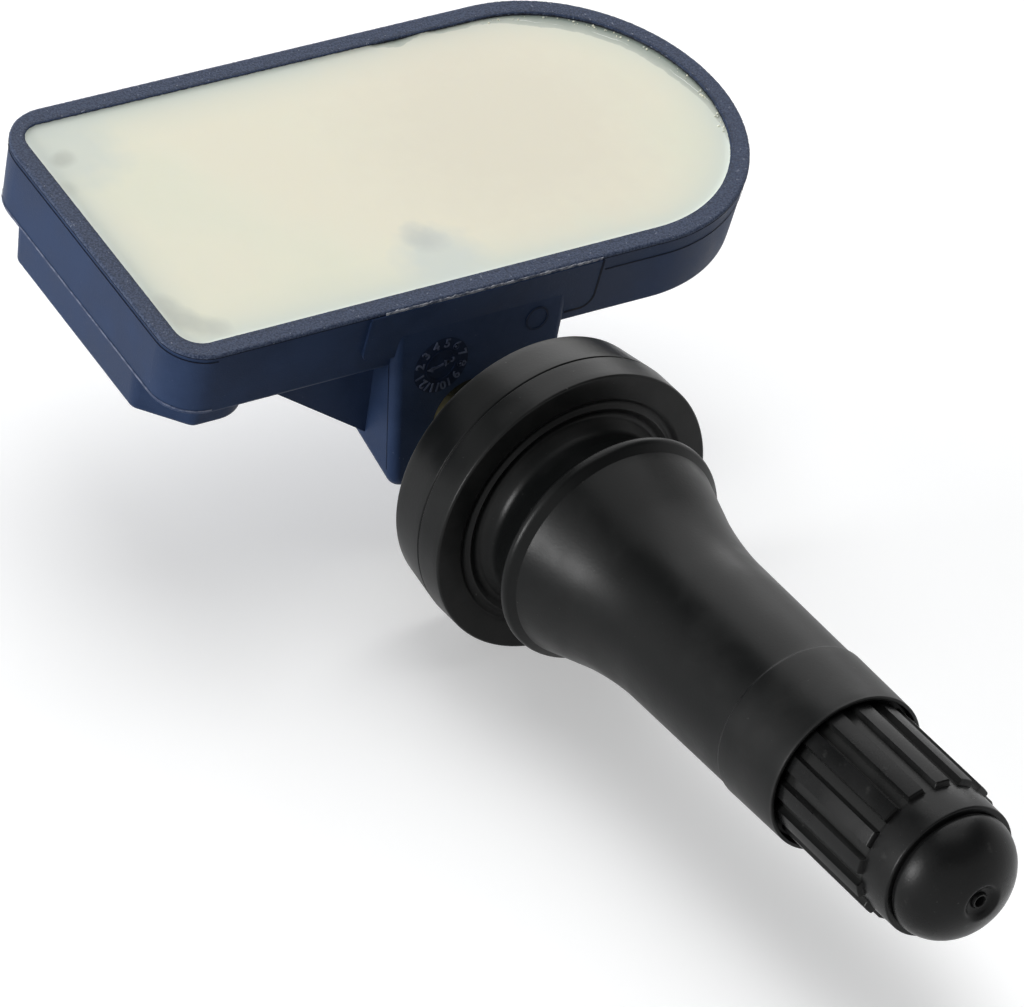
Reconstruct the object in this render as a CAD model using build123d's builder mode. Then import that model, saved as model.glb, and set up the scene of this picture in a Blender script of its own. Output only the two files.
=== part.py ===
from build123d import *
from math import cos, radians, sin, sqrt, tan
import os

# Snap-in tyre pressure sensor: a potted sensor housing carried by a rubber tyre valve.
# Sizes are in millimetres. The origin is the centre of the face that seats on the wheel rim,
# on the valve's axis. -Y runs out along the valve to its cap and +Z leaves the potted side.

os.makedirs("parts", exist_ok=True)

# Rubber flange and the groove that grips the rim
flange_radius = 9.5
flange_back_radius = 9.07
flange_thickness = 5.2
flange_parting = 2.1
flange_edge_round = 0.2
seat_inner_radius = 7.8
seat_groove_radius = 7.5
seat_groove_depth = 0.45
seat_ridge_radius = 7.18
neck_radius = 5.95
neck_round = 0.7
neck_hollow = 0.35
neck_flare_start = 1.4
neck_flare_radius = 6.75
neck_flare_blend = 2.5
rim_groove_width = 3.7

# Rubber body, from the shoulder that snaps past the rim to the end at the cap
lip_radius = 7.59
lip_width = 0.95
lip_flat = 0.5
lip_back = 0.25
lip_round = 0.28
shoulder_radius = 7.06
flare_foot = 10.3
flare_foot_radius = 5.36
flare_blend = 18.0
band_start = 22.7
band_root_radius = 5.2
band_step = 0.12
rubber_length = 28.0
rubber_end_radius = 5.24
cap_recess_radius = 5.0
cap_recess_depth = 0.8

# Brass stem moulded into the rubber
stem_waist_radius = 3.0
stem_thread_radius = 3.85
stem_thread_start = 19.0
stem_length = 36.2
stem_end_chamfer = 0.4
anchor_radius = 6.2
anchor_thickness = 1.2
anchor_cover = 1.2
tail_radius = 2.5
tail_length = 6.0
tenon_radius = 1.9
tenon_flat = 1.5
tenon_shy = 0.3
air_bore_radius = 1.2
air_bore_stop = 2.6
cross_hole_radius = 0.6
cross_hole_back = 1.6

# Valve core screwed into the stem
core_bore_radius = 2.05
core_bore_depth = 15.2
core_thread_bore_radius = 2.65
core_thread_bore_depth = 5.2
core_thread_clearance = 0.1
core_top_depth = 1.8
core_plug_length = 3.0
core_tube_radius = 1.9
core_tube_bore = 1.4
core_length = 10.2
core_end_wall = 0.7
core_end_hole = 0.85
core_wing_width = 1.9
core_wing_height = 0.8
gasket_groove_radius = 1.55
gasket_length = 1.6
gasket_from_end = 3.6
pin_radius = 0.5
pin_guide_clearance = 0.06
pin_head_radius = 0.75
pin_head_length = 0.4
pin_tip_depth = 0.3
pin_collar_radius = 1.1
pin_collar_length = 0.6
pin_collar_gap = 0.3
cup_radius = 1.5
cup_length = 0.8
cup_seal_thickness = 0.5
spring_wire_radius = 0.16
spring_coil_radius = 0.92
spring_turns = 6

# Valve cap and the washer inside it
cap_mouth_gap = 0.35
cap_thread_clearance = 0.1
cap_wall_radius = 4.42
cap_rib_height = 0.36
cap_rib_width = 1.05
cap_ribs = 16
cap_rib_end = 35.8
cap_rib_turn = -3.0
cap_nose_end = 38.0
cap_nose_radius = 4.4
cap_dome_radius = 4.06
cap_dome_groove = 0.14
cap_dome_height = 3.15
cap_gate_radius = 0.85
cap_gate_floor = 0.55
cap_gate_depth = 0.3
cap_core_out_radius = 2.4
cap_core_out_depth = 2.6
washer_thickness = 0.75
washer_hole_radius = 1.6
washer_clearance = 0.3

# Housing: a D-shaped tray whose rim plane leans by tilt towards the valve
tilt = 8.93
housing_length = 46.1
housing_width = 22.7
left_reach = 21.7
corner_radius = 2.73
back_corner_radius = 3.5
rim_width = 1.19
tray_foot_inset = 0.35
tray_foot_shift = 0.1
tray_foot_lean = 0.25
floor_thickness = 1.0
tray_edge_round = 0.3
rim_edge_round = 0.22
front_wall_rise = 8.0
front_wall_meet = 1.3
fill_depth = 0.25

# Bulge under the square end of the tray, which holds the coil
bulge_depth = 7.7
bulge_end_inset = 0.4
bulge_side_inset = 1.3
bulge_length = 8.1
bulge_bevel = 3.0
bulge_bevel_round = 1.3
bulge_corner_round = 3.0
bulge_edge_round = 0.4
bulge_draft = 8.0
bulge_wall = 0.9

# Plate that the valve is screwed to, its gusset and the pad at its root
plate_half_width = 6.35
plate_left_draft = 7.05
plate_right_draft = 1.5
plate_thickness = 4.6
plate_below_axis = 4.75
plate_foot_slope = 23.5
plate_corner_round = 1.0
plate_edge_round = 0.6
plate_hole_clearance = 0.06
gusset_reach = 9.87
gusset_drop = 6.95
gusset_thickness = 1.3
gusset_inset = 1.5
pad_half_width = 8.35
pad_depth = 3.86
pad_corner_round = 1.0
pad_proud = 0.15

# Screw that holds the stem to the plate
screw_radius = 1.1
screw_clearance = 0.05
screw_engagement = 1.9
screw_head_radius = 2.4
screw_head_height = 1.5
screw_socket_radius = 1.0
screw_socket_depth = 0.8

# Electronics under the potting
board_depth = 1.2
board_thickness = 0.8
board_gap = 0.35
board_corner_radius = 1.2
post_pin_radius = 1.0
post_shoulder_radius = 1.6
post_clearance = 0.1
post_top_depth = 0.5
front_post_u = -1.5
front_post_inset = 5.35
back_post_from_end = 4.6
back_post_inset = 3.75
cell_radius = 8.0
cell_thickness = 1.6
cell_step = 0.9
cell_step_height = 0.4
tab_thickness = 0.15
tab_width = 3.0
tab_offset = 3.0
tab_leg_gap = 0.5
tab_overhang = 2.2
chip_size = 6.6
chip_thickness = 1.5
chip_port_depth = 0.75
chip_u = -8.0
chip_v = 0.5
port_radius = 0.6
port_seal_radius = 1.6
coil_from_end = 3.85
coil_length = 11.4
coil_flange_length = 1.2
coil_flange_width = 3.3
coil_flange_height = 3.9
coil_rod_size = 1.7
coil_winding_thickness = 0.65
coil_post_gap = 0.3
antenna_inset = 1.1
antenna_strip = 0.4
antenna_height = 0.6
antenna_leg = 6.0
crystal_length = 3.2
crystal_width = 1.6
crystal_height = 0.8
crystal_from_cell = 6.45
crystal_v = 5.0
capacitor_length = 1.6
capacitor_width = 0.8
capacitor_height = 0.8
capacitor_count = 4
capacitor_pitch = 1.7
capacitor_from_cell = 3.15
capacitor_v = -1.1

# Places that follow from the sizes above
lean_sin = sin(radians(tilt))
lean_cos = cos(radians(tilt))
plate_front = flange_thickness + tail_length
plate_back = plate_front + plate_thickness
plate_height = front_wall_rise + plate_below_axis
plate_foot_left = plate_height * tan(radians(plate_left_draft)) - plate_half_width
plate_foot_right = plate_half_width - plate_height * tan(radians(plate_right_draft))
plate_foot_rise = plate_thickness * tan(radians(plate_foot_slope))
half_width = housing_width / 2
arc_u = housing_length - left_reach - half_width
cell_left = arc_u - cell_radius
cavity_depth = board_depth + board_thickness + 2 * tab_thickness + cell_thickness
wall_height = cavity_depth + floor_thickness
board_bottom = board_depth + board_thickness
cell_top = board_bottom + tab_thickness
coil_u = coil_from_end - left_reach
coil_end_v = half_width - back_post_inset - post_shoulder_radius - coil_post_gap
coil_v = coil_end_v - coil_length / 2
posts = [
    (front_post_u, front_post_inset - half_width, wall_height),
    (back_post_from_end - left_reach, half_width - back_post_inset, bulge_depth),
]
cap_mouth = rubber_length - cap_recess_depth + cap_mouth_gap
core_top = stem_length - core_top_depth
core_end = core_top - core_length
pin_tip = stem_length - pin_tip_depth
spring_seat = core_end + core_end_wall
spring_top = core_top - core_plug_length - pin_collar_gap - pin_collar_length
washer_top = stem_length + washer_thickness

# Housing plane: u along +X, v away from the valve, w out of the potted side, rim at w = 0
housing_plane = Plane(
    origin=(
        0,
        plate_front - front_wall_meet * lean_sin + half_width * lean_cos,
        front_wall_rise + front_wall_meet * lean_cos + half_width * lean_sin,
    ),
    x_dir=(1, 0, 0),
    z_dir=(0, -lean_sin, lean_cos),
)
housing_up = Axis(housing_plane.origin, housing_plane.z_dir)
foot_centre = (tray_foot_shift, -tray_foot_lean, -wall_height)
tray_foot_plane = Plane(
    origin=housing_plane.from_local_coords(foot_centre),
    x_dir=(1, 0, 0),
    z_dir=housing_plane.z_dir,
)


def level(depth):
    """Plane parallel to the rim, at a depth below it."""
    return housing_plane.offset(-depth)


def side_plane(v):
    """Plane of u and w, at a distance v from the middle of the housing, facing the valve."""
    origin = housing_plane.from_local_coords((0, v, 0))
    return Plane(origin=origin, x_dir=(1, 0, 0), z_dir=-housing_plane.y_dir)


def out(distance, radius):
    """Point of a valve profile: distance out from the rim seat, and radius."""
    return (radius, -distance)


def across_valve(distance):
    """Plane square to the valve's axis, facing out, at a distance from the rim seat."""
    return Plane(origin=(0, -distance, 0), x_dir=(1, 0, 0), z_dir=(0, -1, 0))


def tray_face(inset, radius):
    """D-shaped face of the tray, drawn in from its outer wall. Two radii are back and front."""
    left = inset - left_reach
    half = half_width - inset
    with BuildLine() as outline:
        FilletPolyline((arc_u, half), (left, half), (left, -half), (arc_u, -half), radius=radius)
        ThreePointArc((arc_u, -half), (arc_u + half, 0), (arc_u, half))
    make_face(outline.edges())


def polygon_face(*points):
    """Face inside straight edges through the points."""
    with BuildLine() as outline:
        Polyline(*points, close=True)
    make_face(outline.edges())


def tenon_face(clearance):
    """Round end of the stem with two flats, as it passes through the plate."""
    Circle(tenon_radius + clearance)
    width = 2 * (tenon_radius + clearance)
    Rectangle(width, 2 * (tenon_flat + clearance), mode=Mode.INTERSECT)


def bulge_face(inset):
    """Plan of the bulge, bevelled at the square end, drawn in evenly from its outer wall."""
    left = bulge_end_inset + inset - left_reach
    right = bulge_end_inset + bulge_length - inset - left_reach
    side = half_width - bulge_side_inset - inset
    bevel = bulge_bevel - (2 - sqrt(2)) * inset
    corner = bulge_corner_round - inset
    blend = bulge_bevel_round - inset
    with BuildLine() as outline:
        FilletPolyline(
            (right, side),
            (left + bevel, side),
            (left, side - bevel),
            (left, bevel - side),
            (left + bevel, -side),
            (right, -side),
            radius=[corner, blend, blend, blend, blend, corner],
            close=True,
        )
    make_face(outline.edges())


# Bulge that hangs below the square end of the tray
with BuildPart() as bulge_block:
    with BuildSketch(level(cavity_depth)):
        bulge_face(0)
    extrude(amount=cavity_depth - bulge_depth, taper=bulge_draft)
    fillet(bulge_block.faces().sort_by(housing_up)[0].edges(), bulge_edge_round)

# Space inside the tray and the bulge, up to the rim
with BuildPart() as inner_space:
    with BuildSketch(level(cavity_depth)):
        tray_face(rim_width, corner_radius - rim_width)
    extrude(amount=cavity_depth)
    with BuildSketch(level(cavity_depth)):
        bulge_face(bulge_wall)
    extrude(amount=cavity_depth + floor_thickness - bulge_depth, taper=bulge_draft)

# Plate square to the valve's axis: its sides draw in to a foot that slopes up to the back
with BuildPart() as plate_block:
    with BuildSketch(across_valve(-plate_back)):
        polygon_face(
            (-plate_half_width, front_wall_rise),
            (plate_foot_left, -plate_below_axis),
            (plate_foot_right, -plate_below_axis),
            (plate_half_width, front_wall_rise),
        )
    extrude(amount=plate_thickness)
    with BuildSketch(Plane.YZ):
        polygon_face(
            (plate_front, -plate_below_axis),
            (plate_back, -plate_below_axis),
            (plate_back, plate_foot_rise - plate_below_axis),
        )
    extrude(amount=plate_half_width, both=True, mode=Mode.SUBTRACT)
    foot_edges = plate_block.faces().sort_by(Axis.Z)[0].edges().sort_by(Axis.X)
    fillet([foot_edges[0], foot_edges[-1]], plate_corner_round)
    front_outline = plate_block.faces().sort_by(Axis.Y)[0].edges()
    fillet(front_outline.sort_by(Axis.Z)[:-1], plate_edge_round)

# Housing: the tray with its bulge, plate, gusset, root pad, board posts and pressure port
with BuildPart() as housing:
    with BuildSketch(housing_plane):
        tray_face(0, [back_corner_radius, corner_radius])
    with BuildSketch(tray_foot_plane):
        tray_face(tray_foot_inset, corner_radius)
    loft()
    fillet(housing.faces().sort_by(housing_up)[0].edges(), tray_edge_round)
    fillet(housing.faces().sort_by(housing_up)[-1].edges(), rim_edge_round)
    add(bulge_block.part)
    add(plate_block.part)
    with BuildSketch(side_plane(gusset_inset - half_width)):
        polygon_face(
            (plate_foot_left - gusset_reach, -cavity_depth),
            (plate_foot_left - gusset_reach, -wall_height),
            (plate_foot_left, -wall_height - gusset_drop),
            (plate_foot_left, -cavity_depth),
        )
    extrude(amount=-gusset_thickness)
    with BuildSketch(side_plane(rim_width / 2 - half_width)) as pad_outline:
        polygon_face(
            (-pad_half_width, -rim_edge_round),
            (-pad_half_width, -pad_depth),
            (pad_half_width, -pad_depth),
            (pad_half_width, -rim_edge_round),
        )
        fillet(pad_outline.vertices().group_by(Axis.Y)[0], pad_corner_round)
    extrude(amount=rim_width / 2 + pad_proud)
    add(inner_space.part, mode=Mode.SUBTRACT)
    for u, v, foot_depth in posts:
        with BuildSketch(level(foot_depth - floor_thickness)):
            with Locations((u, v)):
                Circle(post_shoulder_radius)
        extrude(amount=foot_depth - floor_thickness - board_bottom)
        with BuildSketch(level(board_bottom)):
            with Locations((u, v)):
                Circle(post_pin_radius)
        extrude(amount=board_bottom - post_top_depth)
    with BuildSketch(level(wall_height)):
        with Locations((chip_u, chip_v)):
            Circle(port_radius)
    extrude(amount=floor_thickness, mode=Mode.SUBTRACT)
    with BuildSketch(across_valve(-plate_back)):
        tenon_face(plate_hole_clearance)
    extrude(amount=plate_thickness, mode=Mode.SUBTRACT)
housing.part.label = "housing"
export_step(housing.part, "parts/housing.step")

# Circuit board, soldered parts below it and holes for the posts through it
with BuildPart() as circuit_board:
    with BuildSketch(level(board_bottom)):
        tray_face(rim_width + board_gap, board_corner_radius)
        with Locations(*[(u, v) for u, v, foot_depth in posts]):
            Circle(post_pin_radius + post_clearance, mode=Mode.SUBTRACT)
    extrude(amount=board_thickness)
circuit_board.part.label = "circuit_board"
export_step(circuit_board.part, "parts/circuit_board.step")

# Coin cell: the can with its smaller pole face towards the board
with BuildPart() as battery_cell:
    with BuildSketch(level(cell_top + cell_thickness)):
        with Locations((arc_u, 0)):
            Circle(cell_radius)
    extrude(amount=cell_thickness - cell_step_height)
    with BuildSketch(level(cell_top + cell_step_height)):
        with Locations((arc_u, 0)):
            Circle(cell_radius - cell_step)
    extrude(amount=cell_step_height)
battery_cell.part.label = "battery_cell"
export_step(battery_cell.part, "parts/battery_cell.step")

# Spot-welded strips: one between the pole face and the board, one under the can
with BuildPart() as pole_tab:
    with BuildSketch(level(cell_top)):
        with Locations((arc_u, tab_offset)):
            Rectangle(cell_radius + tab_overhang, tab_width, align=(Align.MAX, Align.CENTER))
    extrude(amount=tab_thickness)
pole_tab.part.label = "pole_tab"
export_step(pole_tab.part, "parts/pole_tab.step")

with BuildPart() as can_tab:
    with BuildSketch(side_plane(-tab_offset)):
        polygon_face(
            (arc_u, -cavity_depth),
            (cell_left - tab_leg_gap - tab_thickness, -cavity_depth),
            (cell_left - tab_leg_gap - tab_thickness, -board_bottom),
            (cell_left - tab_leg_gap, -board_bottom),
            (cell_left - tab_leg_gap, tab_thickness - cavity_depth),
            (arc_u, tab_thickness - cavity_depth),
        )
    extrude(amount=tab_width / 2, both=True)
can_tab.part.label = "can_tab"
export_step(can_tab.part, "parts/can_tab.step")

# Pressure sensor chip over the port, and the ring that seals it to the floor
chip_bottom = board_bottom + chip_thickness
with BuildPart() as sensor_chip:
    with BuildSketch(level(chip_bottom)):
        with Locations((chip_u, chip_v)):
            Rectangle(chip_size, chip_size)
    extrude(amount=chip_thickness)
    with BuildSketch(level(chip_bottom)):
        with Locations((chip_u, chip_v)):
            Circle(port_radius)
    extrude(amount=chip_port_depth, mode=Mode.SUBTRACT)
sensor_chip.part.label = "sensor_chip"
export_step(sensor_chip.part, "parts/sensor_chip.step")

with BuildPart() as port_seal:
    with BuildSketch(level(cavity_depth)):
        with Locations((chip_u, chip_v)):
            Circle(port_seal_radius)
            Circle(port_radius, mode=Mode.SUBTRACT)
    extrude(amount=cavity_depth - chip_bottom)
port_seal.part.label = "port_seal"
export_step(port_seal.part, "parts/port_seal.step")

# Low-frequency coil under the board, down in the bulge: ferrite bobbin and copper winding
coil_middle = board_bottom + coil_flange_height / 2
winding_length = coil_length - 2 * coil_flange_length
with BuildPart() as coil_core:
    with BuildSketch(level(board_bottom)):
        with Locations((coil_u, coil_v)):
            with GridLocations(0, coil_length - coil_flange_length, 1, 2):
                Rectangle(coil_flange_width, coil_flange_length)
    extrude(amount=-coil_flange_height)
    with BuildSketch(side_plane(coil_v)):
        with Locations((coil_u, -coil_middle)):
            Rectangle(coil_rod_size, coil_rod_size)
    extrude(amount=winding_length / 2, both=True)
coil_core.part.label = "coil_core"
export_step(coil_core.part, "parts/coil_core.step")

winding_size = coil_rod_size + 2 * coil_winding_thickness
with BuildPart() as coil_winding:
    with BuildSketch(side_plane(coil_v)):
        with Locations((coil_u, -coil_middle)):
            RectangleRounded(winding_size, winding_size, coil_winding_thickness)
            Rectangle(coil_rod_size, coil_rod_size, mode=Mode.SUBTRACT)
    extrude(amount=winding_length / 2, both=True)
coil_winding.part.label = "coil_winding"
export_step(coil_winding.part, "parts/coil_winding.step")

# Radio antenna: a strip on edge that follows the round end of the board
antenna_radius = half_width - rim_width - board_gap - antenna_inset
with BuildPart() as antenna:
    with BuildSketch(level(board_depth)):
        with BuildLine() as antenna_line:
            Line((arc_u - antenna_leg, antenna_radius), (arc_u, antenna_radius))
            ThreePointArc(
                (arc_u, antenna_radius), (arc_u + antenna_radius, 0), (arc_u, -antenna_radius)
            )
            Line((arc_u, -antenna_radius), (arc_u - antenna_leg, -antenna_radius))
        trace(lines=antenna_line.line, line_width=antenna_strip)
    extrude(amount=antenna_height)
antenna.part.label = "antenna"
export_step(antenna.part, "parts/antenna.step")

# Quartz crystal and a row of capacitors under the board
with BuildPart() as crystal:
    with BuildSketch(level(board_bottom)):
        with Locations((cell_left - crystal_from_cell, crystal_v)):
            SlotOverall(crystal_length, crystal_width)
    extrude(amount=-crystal_height)
crystal.part.label = "crystal"
export_step(crystal.part, "parts/crystal.step")

with BuildPart() as capacitors:
    with BuildSketch(level(board_bottom)):
        with Locations((cell_left - capacitor_from_cell, capacitor_v)):
            with GridLocations(0, capacitor_pitch, 1, capacitor_count):
                Rectangle(capacitor_length, capacitor_width)
    extrude(amount=-capacitor_height)
capacitors.part.label = "capacitors"
export_step(capacitors.part, "parts/capacitors.step")

# Potting that fills the tray round everything in it, a little below the rim
buried = [
    housing, circuit_board, battery_cell, pole_tab, can_tab, sensor_chip, port_seal,
    coil_core, coil_winding, antenna, crystal, capacitors,
]
with BuildPart() as potting:
    add(inner_space.part)
    with BuildSketch(housing_plane):
        tray_face(0, corner_radius)
    extrude(amount=-fill_depth, mode=Mode.SUBTRACT)
    with BuildSketch(level(cavity_depth)):
        with Locations((chip_u, chip_v)):
            Circle(port_radius)
    extrude(amount=cavity_depth - chip_bottom + chip_port_depth, mode=Mode.SUBTRACT)
    for piece in buried:
        add(piece.part, mode=Mode.SUBTRACT)
potting.part.label = "potting"
export_step(potting.part, "parts/potting.step")

# Brass stem: tenon, tail, anchor inside the rubber, waist and the thread for the cap
anchor_back = anchor_cover - flange_thickness
tenon_end = tenon_shy - plate_back


def stem_face():
    """Outside of the stem as a half profile, from the plate to the threaded end."""
    polygon_face(
        out(-plate_front, 0),
        out(-plate_front, tail_radius),
        out(anchor_back, tail_radius),
        out(anchor_back, anchor_radius),
        out(anchor_back + anchor_thickness, anchor_radius),
        out(anchor_back + anchor_thickness, stem_waist_radius),
        out(stem_thread_start, stem_waist_radius),
        out(stem_thread_start, stem_thread_radius),
        out(stem_length - stem_end_chamfer, stem_thread_radius),
        out(stem_length, stem_thread_radius - stem_end_chamfer),
        out(stem_length, 0),
    )


core_seat = stem_length - core_bore_depth
with BuildPart() as valve_stem:
    with BuildSketch(Plane.XY):
        stem_face()
    revolve(axis=Axis.Y)
    with BuildSketch(across_valve(tenon_end)):
        tenon_face(0)
    extrude(amount=plate_thickness - tenon_shy)
    with BuildSketch(Plane.XY):
        polygon_face(
            out(air_bore_stop - plate_front, 0),
            out(air_bore_stop - plate_front, air_bore_radius),
            out(core_seat, air_bore_radius),
            out(core_seat, core_bore_radius),
            out(stem_length - core_thread_bore_depth, core_bore_radius),
            out(stem_length - core_thread_bore_depth, core_thread_bore_radius),
            out(stem_length, core_thread_bore_radius),
            out(stem_length, 0),
        )
    revolve(axis=Axis.Y, mode=Mode.SUBTRACT)
    with BuildSketch(Plane.XY):
        with Locations(out(-flange_thickness - cross_hole_back, 0)):
            Circle(cross_hole_radius)
    extrude(amount=tail_radius, both=True, mode=Mode.SUBTRACT)
    with BuildSketch(across_valve(tenon_end)):
        Circle(screw_radius + screw_clearance)
    extrude(amount=plate_thickness - tenon_shy + screw_engagement, mode=Mode.SUBTRACT)
valve_stem.part.label = "valve_stem"
export_step(valve_stem.part, "parts/valve_stem.step")

# Screw through the plate from behind, into the stem's tail
with BuildPart() as fixing_screw:
    with BuildSketch(across_valve(-plate_back)):
        Circle(screw_radius)
    extrude(amount=plate_thickness + screw_engagement - screw_clearance)
    with BuildSketch(across_valve(-plate_back)):
        Circle(screw_head_radius)
    extrude(amount=-screw_head_height)
    fillet(fixing_screw.edges().sort_by(Axis.Y)[-1], screw_head_height / 3)
    with BuildSketch(across_valve(-plate_back - screw_head_height)):
        RegularPolygon(screw_socket_radius, 6)
    extrude(amount=screw_socket_depth, mode=Mode.SUBTRACT)
fixing_screw.part.label = "fixing_screw"
export_step(fixing_screw.part, "parts/fixing_screw.step")

# Rubber moulded round the stem: flange, rim groove, snap lip, flared body and end band
lip_front = rim_groove_width + lip_width
with BuildPart() as valve_rubber:
    with BuildSketch(Plane.XY) as rubber_profile:
        polygon_face(
            out(-flange_thickness, 0),
            out(-flange_thickness, flange_back_radius),
            out(-flange_parting, flange_radius),
            out(0, flange_radius),
            out(0, seat_inner_radius),
            out(-seat_groove_depth, seat_groove_radius),
            out(0, seat_ridge_radius),
            out(-neck_hollow, neck_radius + neck_round),
            out(neck_round, neck_radius),
            out(neck_flare_start, neck_radius),
            out(rim_groove_width - lip_back, neck_flare_radius),
            out(rim_groove_width, lip_radius),
            out(rim_groove_width + lip_flat, lip_radius),
            out(lip_front, shoulder_radius),
            out(flare_foot, flare_foot_radius),
            out(band_start, band_root_radius),
            out(band_start + band_step, band_root_radius + band_step),
            out(rubber_length, rubber_end_radius),
            out(rubber_length, cap_recess_radius),
            out(rubber_length - cap_recess_depth, cap_recess_radius),
            out(rubber_length - cap_recess_depth, 0),
        )
        rounded = [
            (out(-flange_thickness, flange_back_radius), flange_edge_round),
            (out(0, flange_radius), flange_edge_round),
            (out(neck_flare_start, neck_radius), neck_flare_blend),
            (out(rim_groove_width, lip_radius), lip_round),
            (out(rim_groove_width + lip_flat, lip_radius), lip_round),
            (out(flare_foot, flare_foot_radius), flare_blend),
        ]
        for corner, radius in rounded:
            fillet(rubber_profile.vertices().sort_by_distance(corner)[0], radius)
    revolve(axis=Axis.Y)
    with BuildSketch(Plane.XY):
        stem_face()
    revolve(axis=Axis.Y, mode=Mode.SUBTRACT)
valve_rubber.part.label = "valve_rubber"
export_step(valve_rubber.part, "parts/valve_rubber.step")

# Valve core: threaded plug with spanner wings, tube, and the gasket in the tube's groove
plug_radius = core_thread_bore_radius - core_thread_clearance
plug_end = core_top - core_plug_length
gasket_back = core_end + gasket_from_end
guide_radius = pin_radius + pin_guide_clearance
with BuildPart() as core_body:
    with BuildSketch(Plane.XY):
        polygon_face(
            out(core_end, core_end_hole),
            out(core_end, core_tube_radius),
            out(gasket_back, core_tube_radius),
            out(gasket_back, gasket_groove_radius),
            out(gasket_back + gasket_length, gasket_groove_radius),
            out(gasket_back + gasket_length, core_tube_radius),
            out(plug_end, core_tube_radius),
            out(plug_end, plug_radius),
            out(core_top, plug_radius),
            out(core_top, guide_radius),
            out(plug_end, guide_radius),
            out(plug_end, core_tube_bore),
            out(spring_seat, core_tube_bore),
            out(spring_seat, core_end_hole),
        )
    revolve(axis=Axis.Y)
    with BuildSketch(across_valve(core_top)):
        Circle(plug_radius)
        Rectangle(2 * plug_radius, core_wing_width, mode=Mode.SUBTRACT)
    extrude(amount=-core_wing_height, mode=Mode.SUBTRACT)
core_body.part.label = "core_body"
export_step(core_body.part, "parts/core_body.step")

with BuildPart() as core_gasket:
    with BuildSketch(Plane.XY):
        polygon_face(
            out(gasket_back, gasket_groove_radius),
            out(gasket_back, core_bore_radius),
            out(gasket_back + gasket_length, core_bore_radius),
            out(gasket_back + gasket_length, gasket_groove_radius),
        )
    revolve(axis=Axis.Y)
core_gasket.part.label = "core_gasket"
export_step(core_gasket.part, "parts/core_gasket.step")

# Spring-loaded pin of the core, with the cup whose seal closes the tube's end
cup_front = core_end - cup_seal_thickness
cup_back = cup_front - cup_length
with BuildPart() as core_pin:
    with BuildSketch(Plane.XY):
        polygon_face(
            out(cup_back, 0),
            out(cup_back, cup_radius),
            out(cup_front, cup_radius),
            out(cup_front, pin_radius),
            out(spring_top, pin_radius),
            out(spring_top, pin_collar_radius),
            out(spring_top + pin_collar_length, pin_collar_radius),
            out(spring_top + pin_collar_length, pin_radius),
            out(pin_tip - pin_head_length, pin_radius),
            out(pin_tip - pin_head_length, pin_head_radius),
            out(pin_tip, pin_head_radius),
            out(pin_tip, 0),
        )
    revolve(axis=Axis.Y)
core_pin.part.label = "core_pin"
export_step(core_pin.part, "parts/core_pin.step")

with BuildPart() as cup_seal:
    with BuildSketch(Plane.XY):
        polygon_face(
            out(cup_front, pin_radius),
            out(cup_front, cup_radius),
            out(core_end, cup_radius),
            out(core_end, pin_radius),
        )
    revolve(axis=Axis.Y)
cup_seal.part.label = "cup_seal"
export_step(cup_seal.part, "parts/cup_seal.step")

# Coil spring between the tube's end wall and the pin's collar
spring_height = spring_top - spring_seat - 2 * spring_wire_radius
with BuildPart() as core_spring:
    with BuildLine() as spring_line:
        Helix(
            pitch=spring_height / spring_turns,
            height=spring_height,
            radius=spring_coil_radius,
            center=(0, -spring_seat - spring_wire_radius, 0),
            direction=(0, -1, 0),
        )
    with BuildSketch(Plane(origin=spring_line.line @ 0, z_dir=spring_line.line % 0)):
        Circle(spring_wire_radius)
    sweep(path=spring_line.line, is_frenet=True)
core_spring.part.label = "core_spring"
export_step(core_spring.part, "parts/core_spring.step")

# Cap: ribbed skirt, plain nose and a domed end behind a fine groove, hollow inside
cap_bore = stem_thread_radius + cap_thread_clearance
dome_start = cap_nose_end + cap_dome_groove
dome_end = dome_start + cap_dome_height
with BuildPart() as valve_cap:
    with BuildSketch(across_valve(cap_mouth)):
        Circle(cap_wall_radius)
        with PolarLocations(cap_wall_radius, cap_ribs, start_angle=cap_rib_turn):
            Rectangle(2 * cap_rib_height, cap_rib_width)
    extrude(amount=cap_rib_end - cap_mouth)
    with BuildSketch(Plane.XY):
        with BuildLine():
            Polyline(
                out(cap_mouth, 0),
                out(cap_mouth, cap_wall_radius),
                out(cap_rib_end, cap_wall_radius),
                out(cap_nose_end, cap_nose_radius),
                out(cap_nose_end, cap_dome_radius - cap_dome_groove),
                out(dome_start, cap_dome_radius - cap_dome_groove),
                out(dome_start, cap_dome_radius),
            )
            EllipticalCenterArc(
                out(dome_start, 0), cap_dome_radius, cap_dome_height, start_angle=-90, arc_size=90
            )
            Line(out(dome_end, 0), out(cap_mouth, 0))
        make_face()
    revolve(axis=Axis.Y)
    with BuildSketch(Plane.XY):
        polygon_face(
            out(cap_mouth, 0),
            out(cap_mouth, cap_bore),
            out(washer_top, cap_bore),
            out(washer_top, cap_core_out_radius),
            out(washer_top + cap_core_out_depth, cap_core_out_radius),
            out(washer_top + cap_core_out_depth, 0),
        )
        polygon_face(
            out(dome_end - cap_gate_depth, 0),
            out(dome_end - cap_gate_depth, cap_gate_floor),
            out(dome_end, cap_gate_radius),
            out(dome_end, 0),
        )
    revolve(axis=Axis.Y, mode=Mode.SUBTRACT)
valve_cap.part.label = "valve_cap"
export_step(valve_cap.part, "parts/valve_cap.step")

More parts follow.
